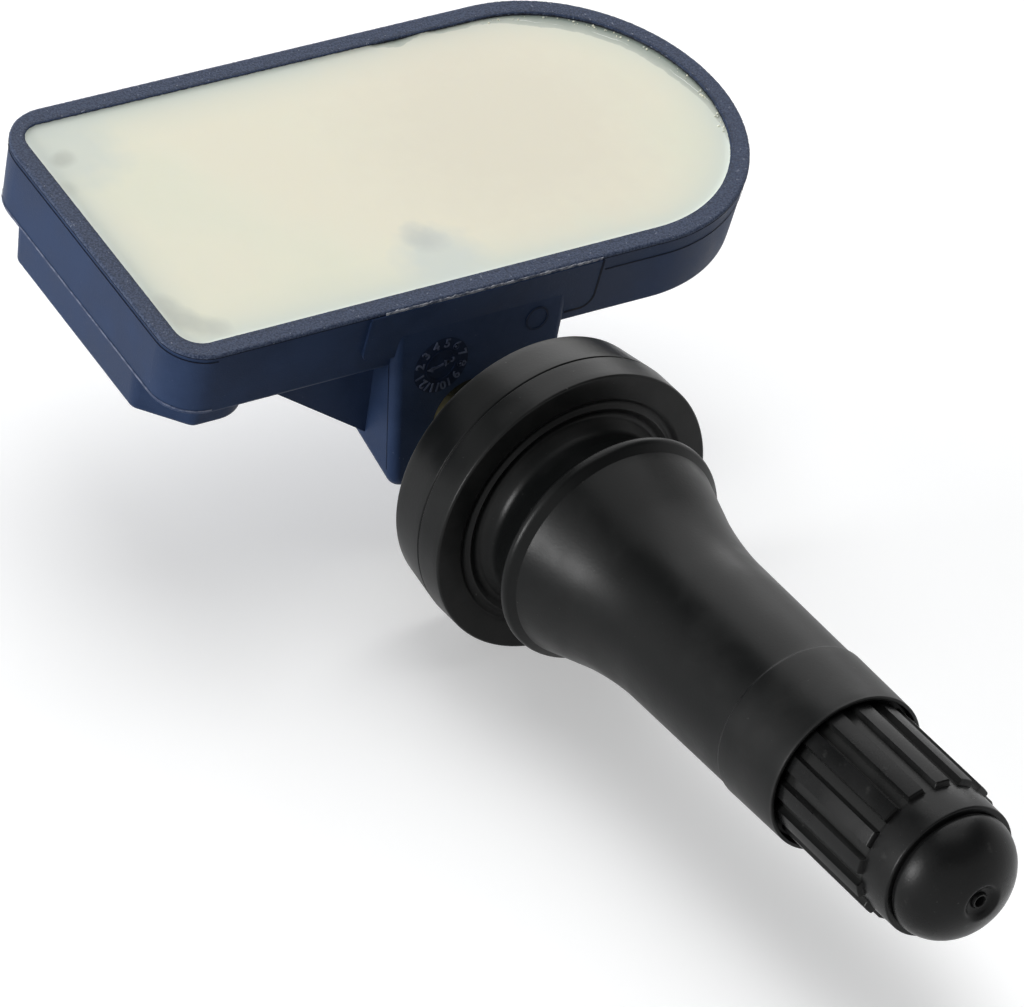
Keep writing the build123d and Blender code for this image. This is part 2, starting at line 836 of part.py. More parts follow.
# Washer in the cap that closes the stem's end
with BuildPart() as cap_washer:
    with BuildSketch(across_valve(stem_length)):
        Circle(cap_bore - washer_clearance)
        Circle(washer_hole_radius, mode=Mode.SUBTRACT)
    extrude(amount=washer_thickness)
cap_washer.part.label = "cap_washer"
export_step(cap_washer.part, "parts/cap_washer.step")
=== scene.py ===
# %% [markdown]
# # A tyre pressure sensor, dressed for its picture
# The object is a snap-in tyre valve with a potted radio sensor screwed to its inner end. The packed
# solids already have its true size and its moving parts, so this lesson only adds what a camera
# sees: soft edges, grain, seams, stains and light. Everything stays in the frame of the solids:
# metres, the origin at the middle of the face that seats on the wheel rim, -Y along the valve to its
# cap, and +Z out of the potted side.

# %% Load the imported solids
import math
import random

import bmesh
import bpy
from mathutils import Matrix, Vector, noise


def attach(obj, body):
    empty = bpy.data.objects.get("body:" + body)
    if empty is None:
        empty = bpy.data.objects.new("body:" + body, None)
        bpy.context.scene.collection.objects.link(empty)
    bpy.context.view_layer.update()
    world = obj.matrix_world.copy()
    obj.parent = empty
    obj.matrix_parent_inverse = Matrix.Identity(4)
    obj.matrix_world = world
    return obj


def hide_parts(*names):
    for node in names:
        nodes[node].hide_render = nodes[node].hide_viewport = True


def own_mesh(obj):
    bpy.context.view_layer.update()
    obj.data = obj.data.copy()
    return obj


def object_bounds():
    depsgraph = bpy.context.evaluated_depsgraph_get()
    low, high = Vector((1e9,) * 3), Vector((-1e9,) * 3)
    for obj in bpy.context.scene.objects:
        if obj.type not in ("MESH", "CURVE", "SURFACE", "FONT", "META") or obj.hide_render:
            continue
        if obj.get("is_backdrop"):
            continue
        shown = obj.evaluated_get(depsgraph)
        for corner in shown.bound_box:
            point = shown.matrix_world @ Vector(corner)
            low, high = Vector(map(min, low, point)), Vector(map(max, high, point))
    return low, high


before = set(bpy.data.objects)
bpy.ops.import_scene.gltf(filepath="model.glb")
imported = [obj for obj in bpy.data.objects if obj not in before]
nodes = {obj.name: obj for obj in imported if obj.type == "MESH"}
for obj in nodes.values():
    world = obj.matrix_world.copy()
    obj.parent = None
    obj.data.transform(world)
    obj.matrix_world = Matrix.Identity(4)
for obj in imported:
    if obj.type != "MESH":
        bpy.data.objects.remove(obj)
cad_low, cad_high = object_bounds()
print("solids:", len(nodes), "box in mm:", [round(1000 * x, 2) for x in cad_high - cad_low])

# %% [markdown]
# ## Shared effects as node groups
# Moulded plastic, rubber, resin and metal all vary a little over their surface: patches of tone, fine
# grain, lines left by a tool, a ring round the valve or a soft spot; the ring and the spot also carry
# painted highlights and painted shade. Each of those effects is a node group, built once with named
# sockets and placed in every material that needs it with its own numbers. They read Object coordinates,
# which stay put on the piece when the cap turns or the camera moves.

# %% Helpers for node trees
def feed(tree, socket, value):
    """Gives an input socket its value: a link from another socket, or plain numbers."""
    if isinstance(value, bpy.types.NodeSocket):
        tree.links.new(value, socket)
    else:
        socket.default_value = value


def add(tree, kind, settings=None, values=None):
    """Adds a node, sets its own settings and then feeds its input sockets."""
    made = tree.nodes.new(kind)
    for name, setting in (settings or {}).items():
        setattr(made, name, setting)
    for name, value in (values or {}).items():
        feed(tree, made.inputs[name], value)
    return made


def new_group(name, inputs, outputs):
    """Starts a shader node group with float or vector inputs and float outputs."""
    group = bpy.data.node_groups.new(name, "ShaderNodeTree")
    for label, value in inputs.items():
        kind = "NodeSocketVector" if isinstance(value, tuple) else "NodeSocketFloat"
        socket = group.interface.new_socket(name=label, in_out="INPUT", socket_type=kind)
        socket.default_value = value
    for label in outputs:
        group.interface.new_socket(name=label, in_out="OUTPUT", socket_type="NodeSocketFloat")
    print("group:", name, "with", len(inputs), "inputs")
    return group, group.nodes.new("NodeGroupInput"), group.nodes.new("NodeGroupOutput")


def math_node(tree, operation, first, second=None, clamp=False):
    """Adds a Math node whose inputs are sockets or plain numbers, and returns its result."""
    made = add(tree, "ShaderNodeMath", {"operation": operation, "use_clamp": clamp})
    for socket, value in zip(made.inputs, (first, second)):
        if value is not None:
            feed(tree, socket, value)
    return made.outputs[0]


# %% Patches of tone
patches, patches_in, patches_out = new_group(
    "Patches", {"Scale": 300.0, "Low": 0.4, "High": 0.6}, ["Mask"]
)
where = add(patches, "ShaderNodeTexCoord").outputs["Object"]
cloud = add(patches, "ShaderNodeTexNoise", None, {
    "Vector": where, "Scale": patches_in.outputs["Scale"], "Detail": 4.0, "Roughness": 0.55,
})
spread = add(patches, "ShaderNodeMapRange", {"interpolation_type": "SMOOTHSTEP"}, {
    "Value": cloud.outputs["Fac"],
    "From Min": patches_in.outputs["Low"], "From Max": patches_in.outputs["High"],
})
feed(patches, patches_out.inputs["Mask"], spread.outputs["Result"])

# %% Fine grain with specks
grain, grain_in, grain_out = new_group(
    "Fine grain", {"Scale": 6000.0, "Specks": 0.66}, ["Height", "Speck"]
)
where = add(grain, "ShaderNodeTexCoord").outputs["Object"]
fine = add(grain, "ShaderNodeTexNoise", None, {
    "Vector": where, "Scale": grain_in.outputs["Scale"], "Detail": 3.0, "Roughness": 0.6,
})
coarse_scale = math_node(grain, "MULTIPLY", grain_in.outputs["Scale"], 0.55)
coarse = add(grain, "ShaderNodeTexNoise", None, {
    "Vector": where, "Scale": coarse_scale, "Detail": 2.0, "Roughness": 0.7,
})
above = math_node(grain, "SUBTRACT", coarse.outputs["Fac"], grain_in.outputs["Specks"])
feed(grain, grain_out.inputs["Height"], fine.outputs["Fac"])
feed(grain, grain_out.inputs["Speck"], math_node(grain, "MULTIPLY", above, 14.0, True))

# %% A broken ring round the valve, for rubbed wear, painted highlights and painted shade
ring, ring_in, ring_out = new_group("Broken ring", {"Station": 0.0, "Width": 0.0003}, ["Mask"])
where = add(ring, "ShaderNodeTexCoord").outputs["Object"]
axes = add(ring, "ShaderNodeSeparateXYZ", None, {"Vector": where})
broken = add(ring, "ShaderNodeTexNoise", None, {"Vector": where, "Scale": 420.0, "Detail": 3.0})
beyond = math_node(ring, "ADD", axes.outputs["Y"], ring_in.outputs["Station"])
away = math_node(ring, "DIVIDE", math_node(ring, "ABSOLUTE", beyond), ring_in.outputs["Width"])
near = math_node(ring, "SUBTRACT", 1.0, away, True)
lost = math_node(ring, "SUBTRACT", broken.outputs["Fac"], 0.3)
unbroken = math_node(ring, "MULTIPLY", lost, 2.5, True)
feed(ring, ring_out.inputs["Mask"], math_node(ring, "MULTIPLY", near, unbroken))

# %% A soft spot
spot, spot_in, spot_out = new_group(
    "Soft spot", {"Centre": (0.0, 0.0, 0.0), "Radius": 0.001}, ["Mask"]
)
where = add(spot, "ShaderNodeTexCoord").outputs["Object"]
wobble = add(spot, "ShaderNodeTexNoise", None, {"Vector": where, "Scale": 700.0, "Detail": 2.0})
ends = {0: where, 1: spot_in.outputs["Centre"]}
gap = add(spot, "ShaderNodeVectorMath", {"operation": "DISTANCE"}, ends)
reach = math_node(spot, "DIVIDE", gap.outputs["Value"], spot_in.outputs["Radius"])
ragged = math_node(spot, "ADD", reach, math_node(spot, "MULTIPLY", wobble.outputs["Fac"], 0.5))
fade = math_node(spot, "MULTIPLY", math_node(spot, "SUBTRACT", 1.25, ragged), 1.6, True)
feed(spot, spot_out.inputs["Mask"], fade)

# %% Lines left by turning on a lathe
turned, turned_in, turned_out = new_group("Turned lines", {"Scale": 900.0}, ["Height"])
where = add(turned, "ShaderNodeTexCoord").outputs["Object"]
stretch = add(turned, "ShaderNodeMapping", None, {"Vector": where, "Scale": (0.05, 1.0, 0.05)})
lines = add(turned, "ShaderNodeTexNoise", None, {
    "Vector": stretch.outputs["Vector"], "Scale": turned_in.outputs["Scale"],
    "Detail": 4.0, "Roughness": 0.7,
})
feed(turned, turned_out.inputs["Height"], lines.outputs["Fac"])

# %% [markdown]
# ## A finish from the groups
# Nearly every finish here is the same recipe: two close tones in patches, a roughness that follows
# the patches, and a fine relief. One function builds that recipe, and returns the tree so that a
# finish which needs more, such as the resin with its stains, can go on from there.

# %% Recipe for a finish
def place(tree, group, **values):
    """Places a node group in a tree with its own numbers."""
    return add(tree, "ShaderNodeGroup", {"node_tree": group}, values)


def tint(tree, mask, under, over):
    """Mixes two colours by a mask; each is a socket or three plain numbers."""
    # inputs of the Mix node share their names, so they are fed by number
    under, over = ((*c, 1.0) if isinstance(c, tuple) else c for c in (under, over))
    made = add(tree, "ShaderNodeMix", {"data_type": "RGBA"}, {0: mask, 6: under, 7: over})
    return made.outputs[2]


def finish(name, dark, light, patch, rough, relief, bump, sockets=None, lathe=False):
    """Principled material with patches of two tones, a roughness between two ends and a relief."""
    material = bpy.data.materials.new(name)
    material.use_nodes = True
    tree = material.node_tree
    shader = tree.nodes["Principled BSDF"]
    tone = place(tree, patches, Scale=patch).outputs["Mask"]
    colour = tint(tree, tone, dark, light)
    ends = {"Value": tone, "To Min": rough[0], "To Max": rough[1]}
    gloss = add(tree, "ShaderNodeMapRange", None, ends).outputs["Result"]
    fine = place(tree, turned if lathe else grain, Scale=relief)
    raised = {"Strength": bump, "Distance": 0.0001, "Height": fine.outputs["Height"]}
    normal = add(tree, "ShaderNodeBump", None, raised).outputs["Normal"]
    fed = {"Base Color": colour, "Roughness": gloss, "Normal": normal, **(sockets or {})}
    for label, value in fed.items():
        feed(tree, shader.inputs[label], value)
    print("finish:", name)
    return material, tree, shader, colour, fine


def speckle(tree, shader, colour, fine, share, tone):
    """Puts specks of a tone over a colour and gives the result to the shader."""
    fine.inputs["Specks"].default_value = share
    colour = tint(tree, fine.outputs["Speck"], colour, tone)
    feed(tree, shader.inputs["Base Color"], colour)


def dress(node_name, material):
    """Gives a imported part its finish."""
    nodes[node_name].data.materials.clear()
    nodes[node_name].data.materials.append(material)


# %% [markdown]
# ## Navy plastic of the housing
# The housing is moulded in glass-filled plastic. It has a satin skin that is a little uneven in tone,
# and where the skin is cut or rubbed, as on the rim, pale glass specks show. The wall takes the plain
# recipe with a few specks, and the rim a coarser and paler one of its own, pitted darker along its inner
# edge. Where the rim's inner border is drawn down into the resin, it is painted nearly black as painted
# shade. An attribute of the mesh says how far across the rim a point is.

# %% Wall plastic
navy, tree, shader, colour, fine = finish(
    "navy_plastic", (0.016, 0.030, 0.071), (0.023, 0.040, 0.089), 160.0, (0.42, 0.54), 9000.0, 0.2,
    {"Specular IOR Level": 0.08},
)
speckle(tree, shader, colour, fine, 0.71, (0.07, 0.09, 0.15))
dress("housing", navy)

# %% Rim plastic
rim_navy, tree, shader, colour, fine = finish(
    "rim_grain", (0.023, 0.035, 0.072), (0.068, 0.088, 0.143), 8000.0, (0.5, 0.75), 7000.0, 0.6,
    {"Specular IOR Level": 0.2},
)
across = add(tree, "ShaderNodeAttribute", {"attribute_name": "across"}).outputs["Fac"]
inner_edge, painted_wall_shade = [
    add(tree, "ShaderNodeMapRange", None, {"Value": across, "From Min": low, "From Max": high})
    for low, high in ((0.72, 1.0), (1.0, 1.6))
]
pitted = place(tree, patches, Scale=5200.0, Low=0.42, High=0.6)
pits = math_node(tree, "MULTIPLY", inner_edge.outputs["Result"], pitted.outputs["Mask"])
colour = tint(tree, pits, colour, (0.016, 0.021, 0.036))
# painted shade: the inner border, drawn down into the resin, is made nearly black as a wall in shadow
colour = tint(tree, painted_wall_shade.outputs["Result"], colour, (0.006, 0.008, 0.012))
speckle(tree, shader, colour, fine, 0.66, (0.20, 0.225, 0.29))

# %% Painted seam shadow, highlit marks, painted edge highlights and burr
shades = {
    # the seam tone is near black, a painted shadow; the tones of the marks and of the edges are paler,
    # painted highlights
    "seam_painted_shadow": ((0.003, 0.005, 0.013), (0.006, 0.010, 0.022), 900.0, (0.6, 0.75), 0.2, 0.1),
    "raised_marks_highlit": ((0.048, 0.064, 0.116), (0.088, 0.108, 0.172), 2500.0, (0.38, 0.5), 0.2, 0.2),
    "insert_shade": ((0.009, 0.016, 0.040), (0.013, 0.023, 0.053), 900.0, (0.45, 0.6), 0.2, 0.08),
    "painted_edge_highlight": ((0.040, 0.056, 0.108), (0.125, 0.145, 0.210), 2100.0, (0.4, 0.55), 0.2, 0.2),
    "burr_pale": ((0.090, 0.108, 0.155), (0.42, 0.44, 0.49), 2600.0, (0.5, 0.7), 0.4, 0.2),
}
seam_shadow_navy, highlit_mark_navy, insert_navy, edge_highlight_navy, burr_navy = [
    finish(name, dark, light, patch, rough, 9000.0, bump, {"Specular IOR Level": shine})[0]
    for name, (dark, light, patch, rough, bump, shine) in shades.items()
]

# %% [markdown]
# ## The housing's own plane
# The tray leans by a few degrees towards the valve, so its details are easier to draw flat, in a
# plane with u along the tray, v away from the valve and w out of the potted side, and then to turn
# into place together. The tray is drawn as a flat face in millimetres: a point spun into the half
# circle on the right, two straight sides, and left corners that are bevelled round. The number of
# edges follows from the step alone, so that two outlines of different size can be bridged.

# %% From the flat plane to the row frame
lean = math.radians(8.93)
left_reach, arc_u, half_width = 21.7, 13.05, 11.35
back_corner, front_corner, rim_width, wall_height = 3.5, 2.73, 1.19, 4.9
foot_inset, foot_shift, foot_lean = 0.35, 0.1, 0.25
inner_corner = front_corner - rim_width
flat_to_row = Matrix.Translation((0, 22.2106, 11.0461)) @ Matrix.Rotation(lean, 4, "X")


def tray_face(bm, inset, corners, step):
    """Draws the tray's outline, in by inset, as one flat face with back and front corner radii."""
    other_edges, other_faces = set(bm.edges), set(bm.faces)
    half, left = half_width - inset, inset - left_reach
    start = bm.verts.new((arc_u, -half, 0))
    turns = round(math.pi * half_width / step)
    bmesh.ops.spin(bm, geom=[start], cent=(arc_u, 0, 0), axis=(0, 0, 1), angle=math.pi, steps=turns)
    far = min(bm.verts, key=lambda v: (v.co - Vector((arc_u, half, 0))).length)
    back, front = bm.verts.new((left, half, 0)), bm.verts.new((left, -half, 0))
    for pair in ((far, back), (back, front), (front, start)):
        bm.edges.new(pair)
    bmesh.ops.contextual_create(bm, geom=[e for e in bm.edges if e not in other_edges])
    for corner, radius in ((back, corners[0]), (front, corners[1])):
        bmesh.ops.bevel(
            bm, geom=[corner], offset=radius, offset_type="OFFSET", profile=0.5, material=-1,
            affect="VERTICES", segments=round(4.3 / step),
        )
    face = next(f for f in bm.faces if f not in other_faces)
    sides = sorted(face.edges, key=lambda e: e.calc_length())[-3:]
    for edge, length in zip(sides, (16, 30, 30)):
        bmesh.ops.subdivide_edges(bm, edges=[edge], cuts=round(length / step))
    return face


# %% Drawing out and cutting off
def drawn_verts(result):
    """Vertices among the new geometry that an extrude operator returns."""
    return [g for g in result["geom"] if isinstance(g, bmesh.types.BMVert)]


def pull(bm, result, by):
    """Moves the new vertices that an extrude operator returns, and returns them."""
    made = drawn_verts(result)
    bmesh.ops.translate(bm, vec=by, verts=made)
    return made


def cut_off(bm, point, outwards):
    """Cuts off what lies outside a plane, and returns the edges of the cut."""
    everything = bm.verts[:] + bm.edges[:] + bm.faces[:]
    cut = bmesh.ops.bisect_plane(
        bm, geom=everything, plane_co=point, plane_no=outwards, clear_outer=True
    )
    return [g for g in cut["geom_cut"] if isinstance(g, bmesh.types.BMEdge)]


# %% From a mesh to a piece
def make_piece(bm, name, material, body, replaced=(), sharp=35.0, placed=Matrix()):
    """Turns a finished bmesh, drawn in millimetres, into a piece that rides on a body."""
    bmesh.ops.transform(bm, matrix=placed, verts=bm.verts[:])
    bmesh.ops.remove_doubles(bm, verts=bm.verts[:], dist=1e-5)
    bmesh.ops.recalc_face_normals(bm, faces=bm.faces[:])
    for face in bm.faces:
        face.smooth = True
    for edge in bm.edges:
        edge.smooth = edge.calc_face_angle(0.0) < math.radians(sharp)
    bmesh.ops.scale(bm, vec=(0.001, 0.001, 0.001), verts=bm.verts[:])
    mesh = bpy.data.meshes.new(name)
    bm.to_mesh(mesh)
    bm.free()
    mesh.materials.append(material)
    piece = bpy.data.objects.new(name, mesh)
    bpy.context.scene.collection.objects.link(piece)
    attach(piece, body)
    if replaced:
        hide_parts(*replaced)
    print(name, "faces:", len(mesh.polygons))
    return piece


# %% [markdown]
# ## Grain of the rim
# The rim round the potting was cut after moulding, so its top is rough and its edges are ragged. Bump
# alone would leave the edges as straight as a ruler. The ring is therefore a real mesh: the outer and
# the inner outline are bridged, the band is subdivided across, and noise then lifts and shifts the
# points by a few hundredths of a millimetre. Both borders are drawn down over the solid's edge.

# %% Rim ring
rim_step, rows_across, rim_top, rounding = 0.16, 11, 0.014, 18
grain_pitch, coarse_lift, fine_lift, ragged_by = 5.2, 0.018, 0.014, 0.026
bm = bmesh.new()
share_across = bm.verts.layers.float.new("across")
outer = tray_face(bm, -0.012, (back_corner, front_corner), rim_step)
inner = tray_face(bm, rim_width + 0.02, (inner_corner, inner_corner), rim_step)
for vert in inner.verts:
    vert[share_across] = 1.0
borders = outer.edges[:] + inner.edges[:]
bmesh.ops.delete(bm, geom=[outer, inner], context="FACES_ONLY")
bmesh.ops.bridge_loops(bm, edges=borders)
spans = [e for e in bm.edges if e.verts[0][share_across] != e.verts[1][share_across]]
bmesh.ops.subdivide_edges(bm, edges=spans, cuts=rows_across, use_grid_fill=True)
for vert in bm.verts:
    at = vert.co * grain_pitch
    shoulder = max(0.0, 0.06 - vert[share_across], vert[share_across] - 0.95)
    vert.co.z = rim_top - rounding * shoulder * shoulder
    vert.co.z += coarse_lift * noise.noise(at) + fine_lift * noise.noise(2.3 * at)
    vert.co.x += ragged_by * noise.noise(at + Vector((40, 0, 0)))
    vert.co.y += ragged_by * noise.noise(at + Vector((0, 40, 0)))
for side, drop in ((0.0, -0.14), (1.0, -0.24)):
    border = [e for e in bm.edges if e.is_boundary and all(v[share_across] == side for v in e.verts)]
    for vert in pull(bm, bmesh.ops.extrude_edge_only(bm, edges=border), (0, 0, drop)):
        vert[share_across] = 2 * side
print("widest span of the rim in mm:", round(max(e.calc_length() for e in bm.edges), 3))
make_piece(bm, "rim_grain", rim_navy, "sensor", sharp=70.0, placed=flat_to_row)

# %% [markdown]
# ## Burr above the pad
# Above the pad at the plate's root, two halves of the mould met at the rim's edge, and a torn line
# of pale burr was left there. It is a narrow grid whose upper points are lifted by noise, so that it
# breaks off and starts again, given a thickness and stood on the pad's top.

# %% Torn burr
burr_length, burr_height, burr_torn, burr_wave = 15.6, 0.2, 0.10, 0.025
on_pad_top = Matrix.Translation((0.45, -11.41, -0.13))
stand_up = Matrix.Rotation(math.radians(90), 4, "X")
bm = bmesh.new()
bmesh.ops.create_grid(bm, x_segments=170, y_segments=2, size=0.5)
bmesh.ops.scale(bm, vec=(burr_length, burr_height, 1), verts=bm.verts[:])
for vert in bm.verts:
    if vert.co.y > burr_height / 4:
        vert.co.y += burr_torn * noise.noise(Vector((3.6 * vert.co.x, 0, 5)))
    vert.co.z = burr_wave * noise.noise(Vector((4.1 * vert.co.x, 9, vert.co.y)))
bmesh.ops.solidify(bm, geom=bm.faces[:], thickness=0.04)
on_pad = flat_to_row @ on_pad_top @ stand_up
make_piece(bm, "rim_burr", burr_navy, "sensor", sharp=60.0, placed=on_pad)

# %% [markdown]
# ## Mould seams
# A mould leaves a fine step where its halves meet. On the left end that line runs just under the rim,
# and on the right of the valve it sits lower. Each seam is the tray's outline at that depth, drawn down
# into a narrow band, cut off where the line ends and thickened, so that it stands on the wall; its
# near-black tone is the painted shadow of the step. The wall draws in a little towards its foot, and the
# outline follows it. One more band, in a paler tone, is a painted highlight along the lower edge of the
# left end.

# %% Seam bands on the wall
stand_off = 0.02


def seam_band(name, material, depth, width, cuts):
    """Band round the tray's wall at a depth under the rim, kept on one side of each cut."""
    bm = bmesh.new()
    down = depth / wall_height
    corners = (back_corner + (front_corner - back_corner) * down, front_corner)
    face = tray_face(bm, foot_inset * down - stand_off, corners, 0.5)
    bmesh.ops.delete(bm, geom=[face], context="FACES_ONLY")
    pull(bm, bmesh.ops.extrude_edge_only(bm, edges=bm.edges[:]), (0, 0, -width))
    for point, outwards in cuts:
        cut_off(bm, point, outwards)
    lowered = (foot_shift * down, -foot_lean * down, width / 2 - depth)
    bmesh.ops.translate(bm, vec=lowered, verts=bm.verts[:])
    bmesh.ops.recalc_face_normals(bm, faces=bm.faces[:])
    bmesh.ops.solidify(bm, geom=bm.faces[:], thickness=-stand_off)
    return make_piece(bm, name, material, "sensor", placed=flat_to_row)


behind = [((0, 0, 0), (0, -1, 0)), ((-19.6, 0, 0), (-1, 0, 0)), ((8.5, 0, 0), (1, 0, 0))]
# the seams are near-black strips: painted shadow of the mould's step
seam_band("rim_line", seam_shadow_navy, 0.19, 0.045, [])
seam_band("seam_left", seam_shadow_navy, 0.50, 0.07, [((-19.0, 0, 0), (1, 0, 0))])
seam_band("seam_right", seam_shadow_navy, 1.18, 0.06, [((8.7, 0, 0), (-1, 0, 0))])
seam_band("seam_back", seam_shadow_navy, 0.45, 0.05, behind)
# the pale band at the foot of the left end is a painted highlight
seam_band("wall_edge", edge_highlight_navy, 4.53, 0.13, [((-18.6, 0, 0), (1, 0, 0))])

# %% [markdown]
# ## Lines round the pad and on the plate
# The pad at the plate's root ends in a groove on its right side, and the plate's rounded front ends in a
# fine line on its left side; both are near-black strips, painted shadow. The plate's right edge gets a
# pale strip, a painted highlight. All three could be cut into the solid, but they are so fine that a
# line of a few points is enough: one of them is spun round the pad's corner, and each is then drawn out
# into a strip and thickened.

# %% Pad groove
pad_side, pad_root, knee_w, pad_bottom = 8.37, -11.2, -2.86, -3.88
groove_top, groove_depth, groove_width = -0.22, 0.315, 0.16
knee_centre = (7.35, pad_root, knee_w)
bm = bmesh.new()
top = bm.verts.new((pad_side, pad_root, groove_top))
knee = bm.verts.new((pad_side, pad_root, knee_w))
bm.edges.new((top, knee))
bmesh.ops.spin(bm, geom=[knee], cent=knee_centre, axis=(0, 1, 0), angle=math.pi / 2, steps=10)
last = min(bm.verts, key=lambda v: v.co.z)
bm.edges.new((last, bm.verts.new((6.3, pad_root, pad_bottom))))
pull(bm, bmesh.ops.extrude_edge_only(bm, edges=bm.edges[:]), (0, -groove_depth, 0))
bmesh.ops.solidify(bm, geom=bm.faces[:], thickness=groove_width)
# a near-black strip along the groove: painted shadow
make_piece(bm, "pad_groove", seam_shadow_navy, "sensor", placed=flat_to_row)


# %% Painted line and painted edge highlight of the plate
def plate_strip(name, material, ends, drawn_by):
    """Fine strip on the plate, from a line between two ends that is drawn out."""
    bm = bmesh.new()
    bm.edges.new([bm.verts.new(end) for end in ends])
    pull(bm, bmesh.ops.extrude_edge_only(bm, edges=bm.edges[:]), drawn_by)
    bmesh.ops.solidify(bm, geom=bm.faces[:], thickness=0.03)
    return make_piece(bm, name, material, "sensor")


# the plate's line is a painted shadow, its right edge a painted highlight
plate_strip("plate_line", seam_shadow_navy, ((-6.36, 11.82, 7.9), (-4.98, 11.82, -3.2)), (0, 0.06, 0))
plate_strip("plate_edge", edge_highlight_navy, ((6.13, 11.355, 8.3), (6.04, 11.355, 4.6)), (0.05, 0.05, 0))

# %% [markdown]
# ## The potting
# The tray is filled with a milky resin that creeps up the wall as it cures, so its face is a shallow
# dish with a curled edge. The solid of the potting stays underneath, and a thin skin on top of it
# carries the curl: the tray's outline is drawn again and again, further in and lower each time, and
# the outlines are bridged. Stains show where posts come close under the skin. The resin turns milky
# and cooler near the wall, and along the back and the round end a thin strip stays clear and green;
# two attributes of the skin say how far.

# %% Resin finish
def on_tray(u, v, w=-0.2):
    """Point of the row frame in metres, from the tray's own plane."""
    return tuple(0.001 * x for x in flat_to_row @ Vector((u, v, w)))


resin, tree, shader, colour, fine = finish(
    "potting_resin", (0.755, 0.760, 0.612), (0.785, 0.780, 0.630), 70.0, (0.30, 0.42), 1400.0, 0.04,
    {
        "Specular IOR Level": 0.3, "Subsurface Weight": 0.1, "Subsurface Scale": 0.6,
        "Subsurface Radius": (0.002, 0.0016, 0.001),
    },
)
warm = place(tree, patches, Scale=38.0, Low=0.48, High=0.66)
colour = tint(tree, warm.outputs["Mask"], colour, (0.800, 0.768, 0.620))
milky = add(tree, "ShaderNodeAttribute", {"attribute_name": "edge"})
colour = tint(tree, milky.outputs["Fac"], colour, (0.610, 0.665, 0.600))
stains = [
    ((9.0, 1.5), 12.5, 0.75, (0.752, 0.712, 0.580)),
    ((-1.3, -8.2), 3.6, 0.80, (0.620, 0.675, 0.630)),
    ((-1.6, -6.0), 1.4, 0.60, (0.530, 0.560, 0.520)),
    ((-0.9, -6.5), 1.2, 0.45, (0.550, 0.580, 0.540)),
    ((-18.2, 7.6), 4.2, 0.65, (0.600, 0.655, 0.610)),
    ((-19.2, 6.9), 0.8, 0.75, (0.480, 0.515, 0.455)),
    ((-18.7, 7.1), 0.8, 0.65, (0.500, 0.530, 0.470)),
    ((-20.1, 4.6), 0.9, 0.55, (0.520, 0.550, 0.480)),
    ((-19.7, -6.4), 1.2, 0.65, (0.520, 0.545, 0.480)),
    ((-19.3, -7.7), 1.3, 0.80, (0.520, 0.545, 0.475)),
    ((-18.5, -8.6), 1.3, 0.75, (0.520, 0.545, 0.475)),
    ((-17.6, -9.0), 1.0, 0.60, (0.530, 0.555, 0.490)),
]
for (u, v), radius, depth, stain in stains:
    mark = place(tree, spot, Centre=on_tray(u, v), Radius=0.001 * radius)
    colour = tint(tree, math_node(tree, "MULTIPLY", mark.outputs["Mask"], depth), colour, stain)
print("resin stains:", len(stains))

# %% Clear strip in the resin
strip = add(tree, "ShaderNodeAttribute", {"attribute_name": "strip"})
ragged_edge = place(tree, patches, Scale=900.0, Low=0.3, High=0.7)
ragged = math_node(tree, "MULTIPLY", ragged_edge.outputs["Mask"], 0.14)
depth_in = math_node(tree, "ADD", strip.outputs["Fac"], ragged)
cleared, deeper = [
    add(tree, "ShaderNodeMapRange", None, {"Value": depth_in, "From Min": low, "From Max": high})
    for low, high in ((0.07, 0.15), (0.15, 1.0))
]
clear_tone = tint(tree, deeper.outputs["Result"], (0.500, 0.535, 0.465), (0.255, 0.300, 0.262))
off_streak = math_node(tree, "ABSOLUTE", math_node(tree, "SUBTRACT", depth_in, 0.52))
streak = math_node(tree, "SUBTRACT", 1.0, math_node(tree, "MULTIPLY", off_streak, 22.0), True)
broken_streak = place(tree, patches, Scale=330.0, Low=0.48, High=0.62)
streak = math_node(tree, "MULTIPLY", streak, broken_streak.outputs["Mask"])
clear_tone = tint(tree, streak, clear_tone, (0.80, 0.83, 0.79))
colour = tint(tree, cleared.outputs["Result"], colour, clear_tone)
feed(tree, shader.inputs["Base Color"], colour)
dress("potting", resin)
print("resin nodes:", len(tree.nodes))


# %% Resin skin
def strip_width(u, v):
    """Width of the clear strip along the wall, in millimetres, and below zero where there is none."""
    if u > arc_u:
        angle = math.degrees(math.atan2(v, u - arc_u))
        return min(1.15, 1.2 * (angle + 31) / 45, 0.42 + 0.8 * (92 - angle) / 25)
    if v < 0:
        return -1.0
    return max(0.38 - 0.5 * max(0.0, 9.6 - u), 0.75 - 0.35 * abs(u - 6.6))


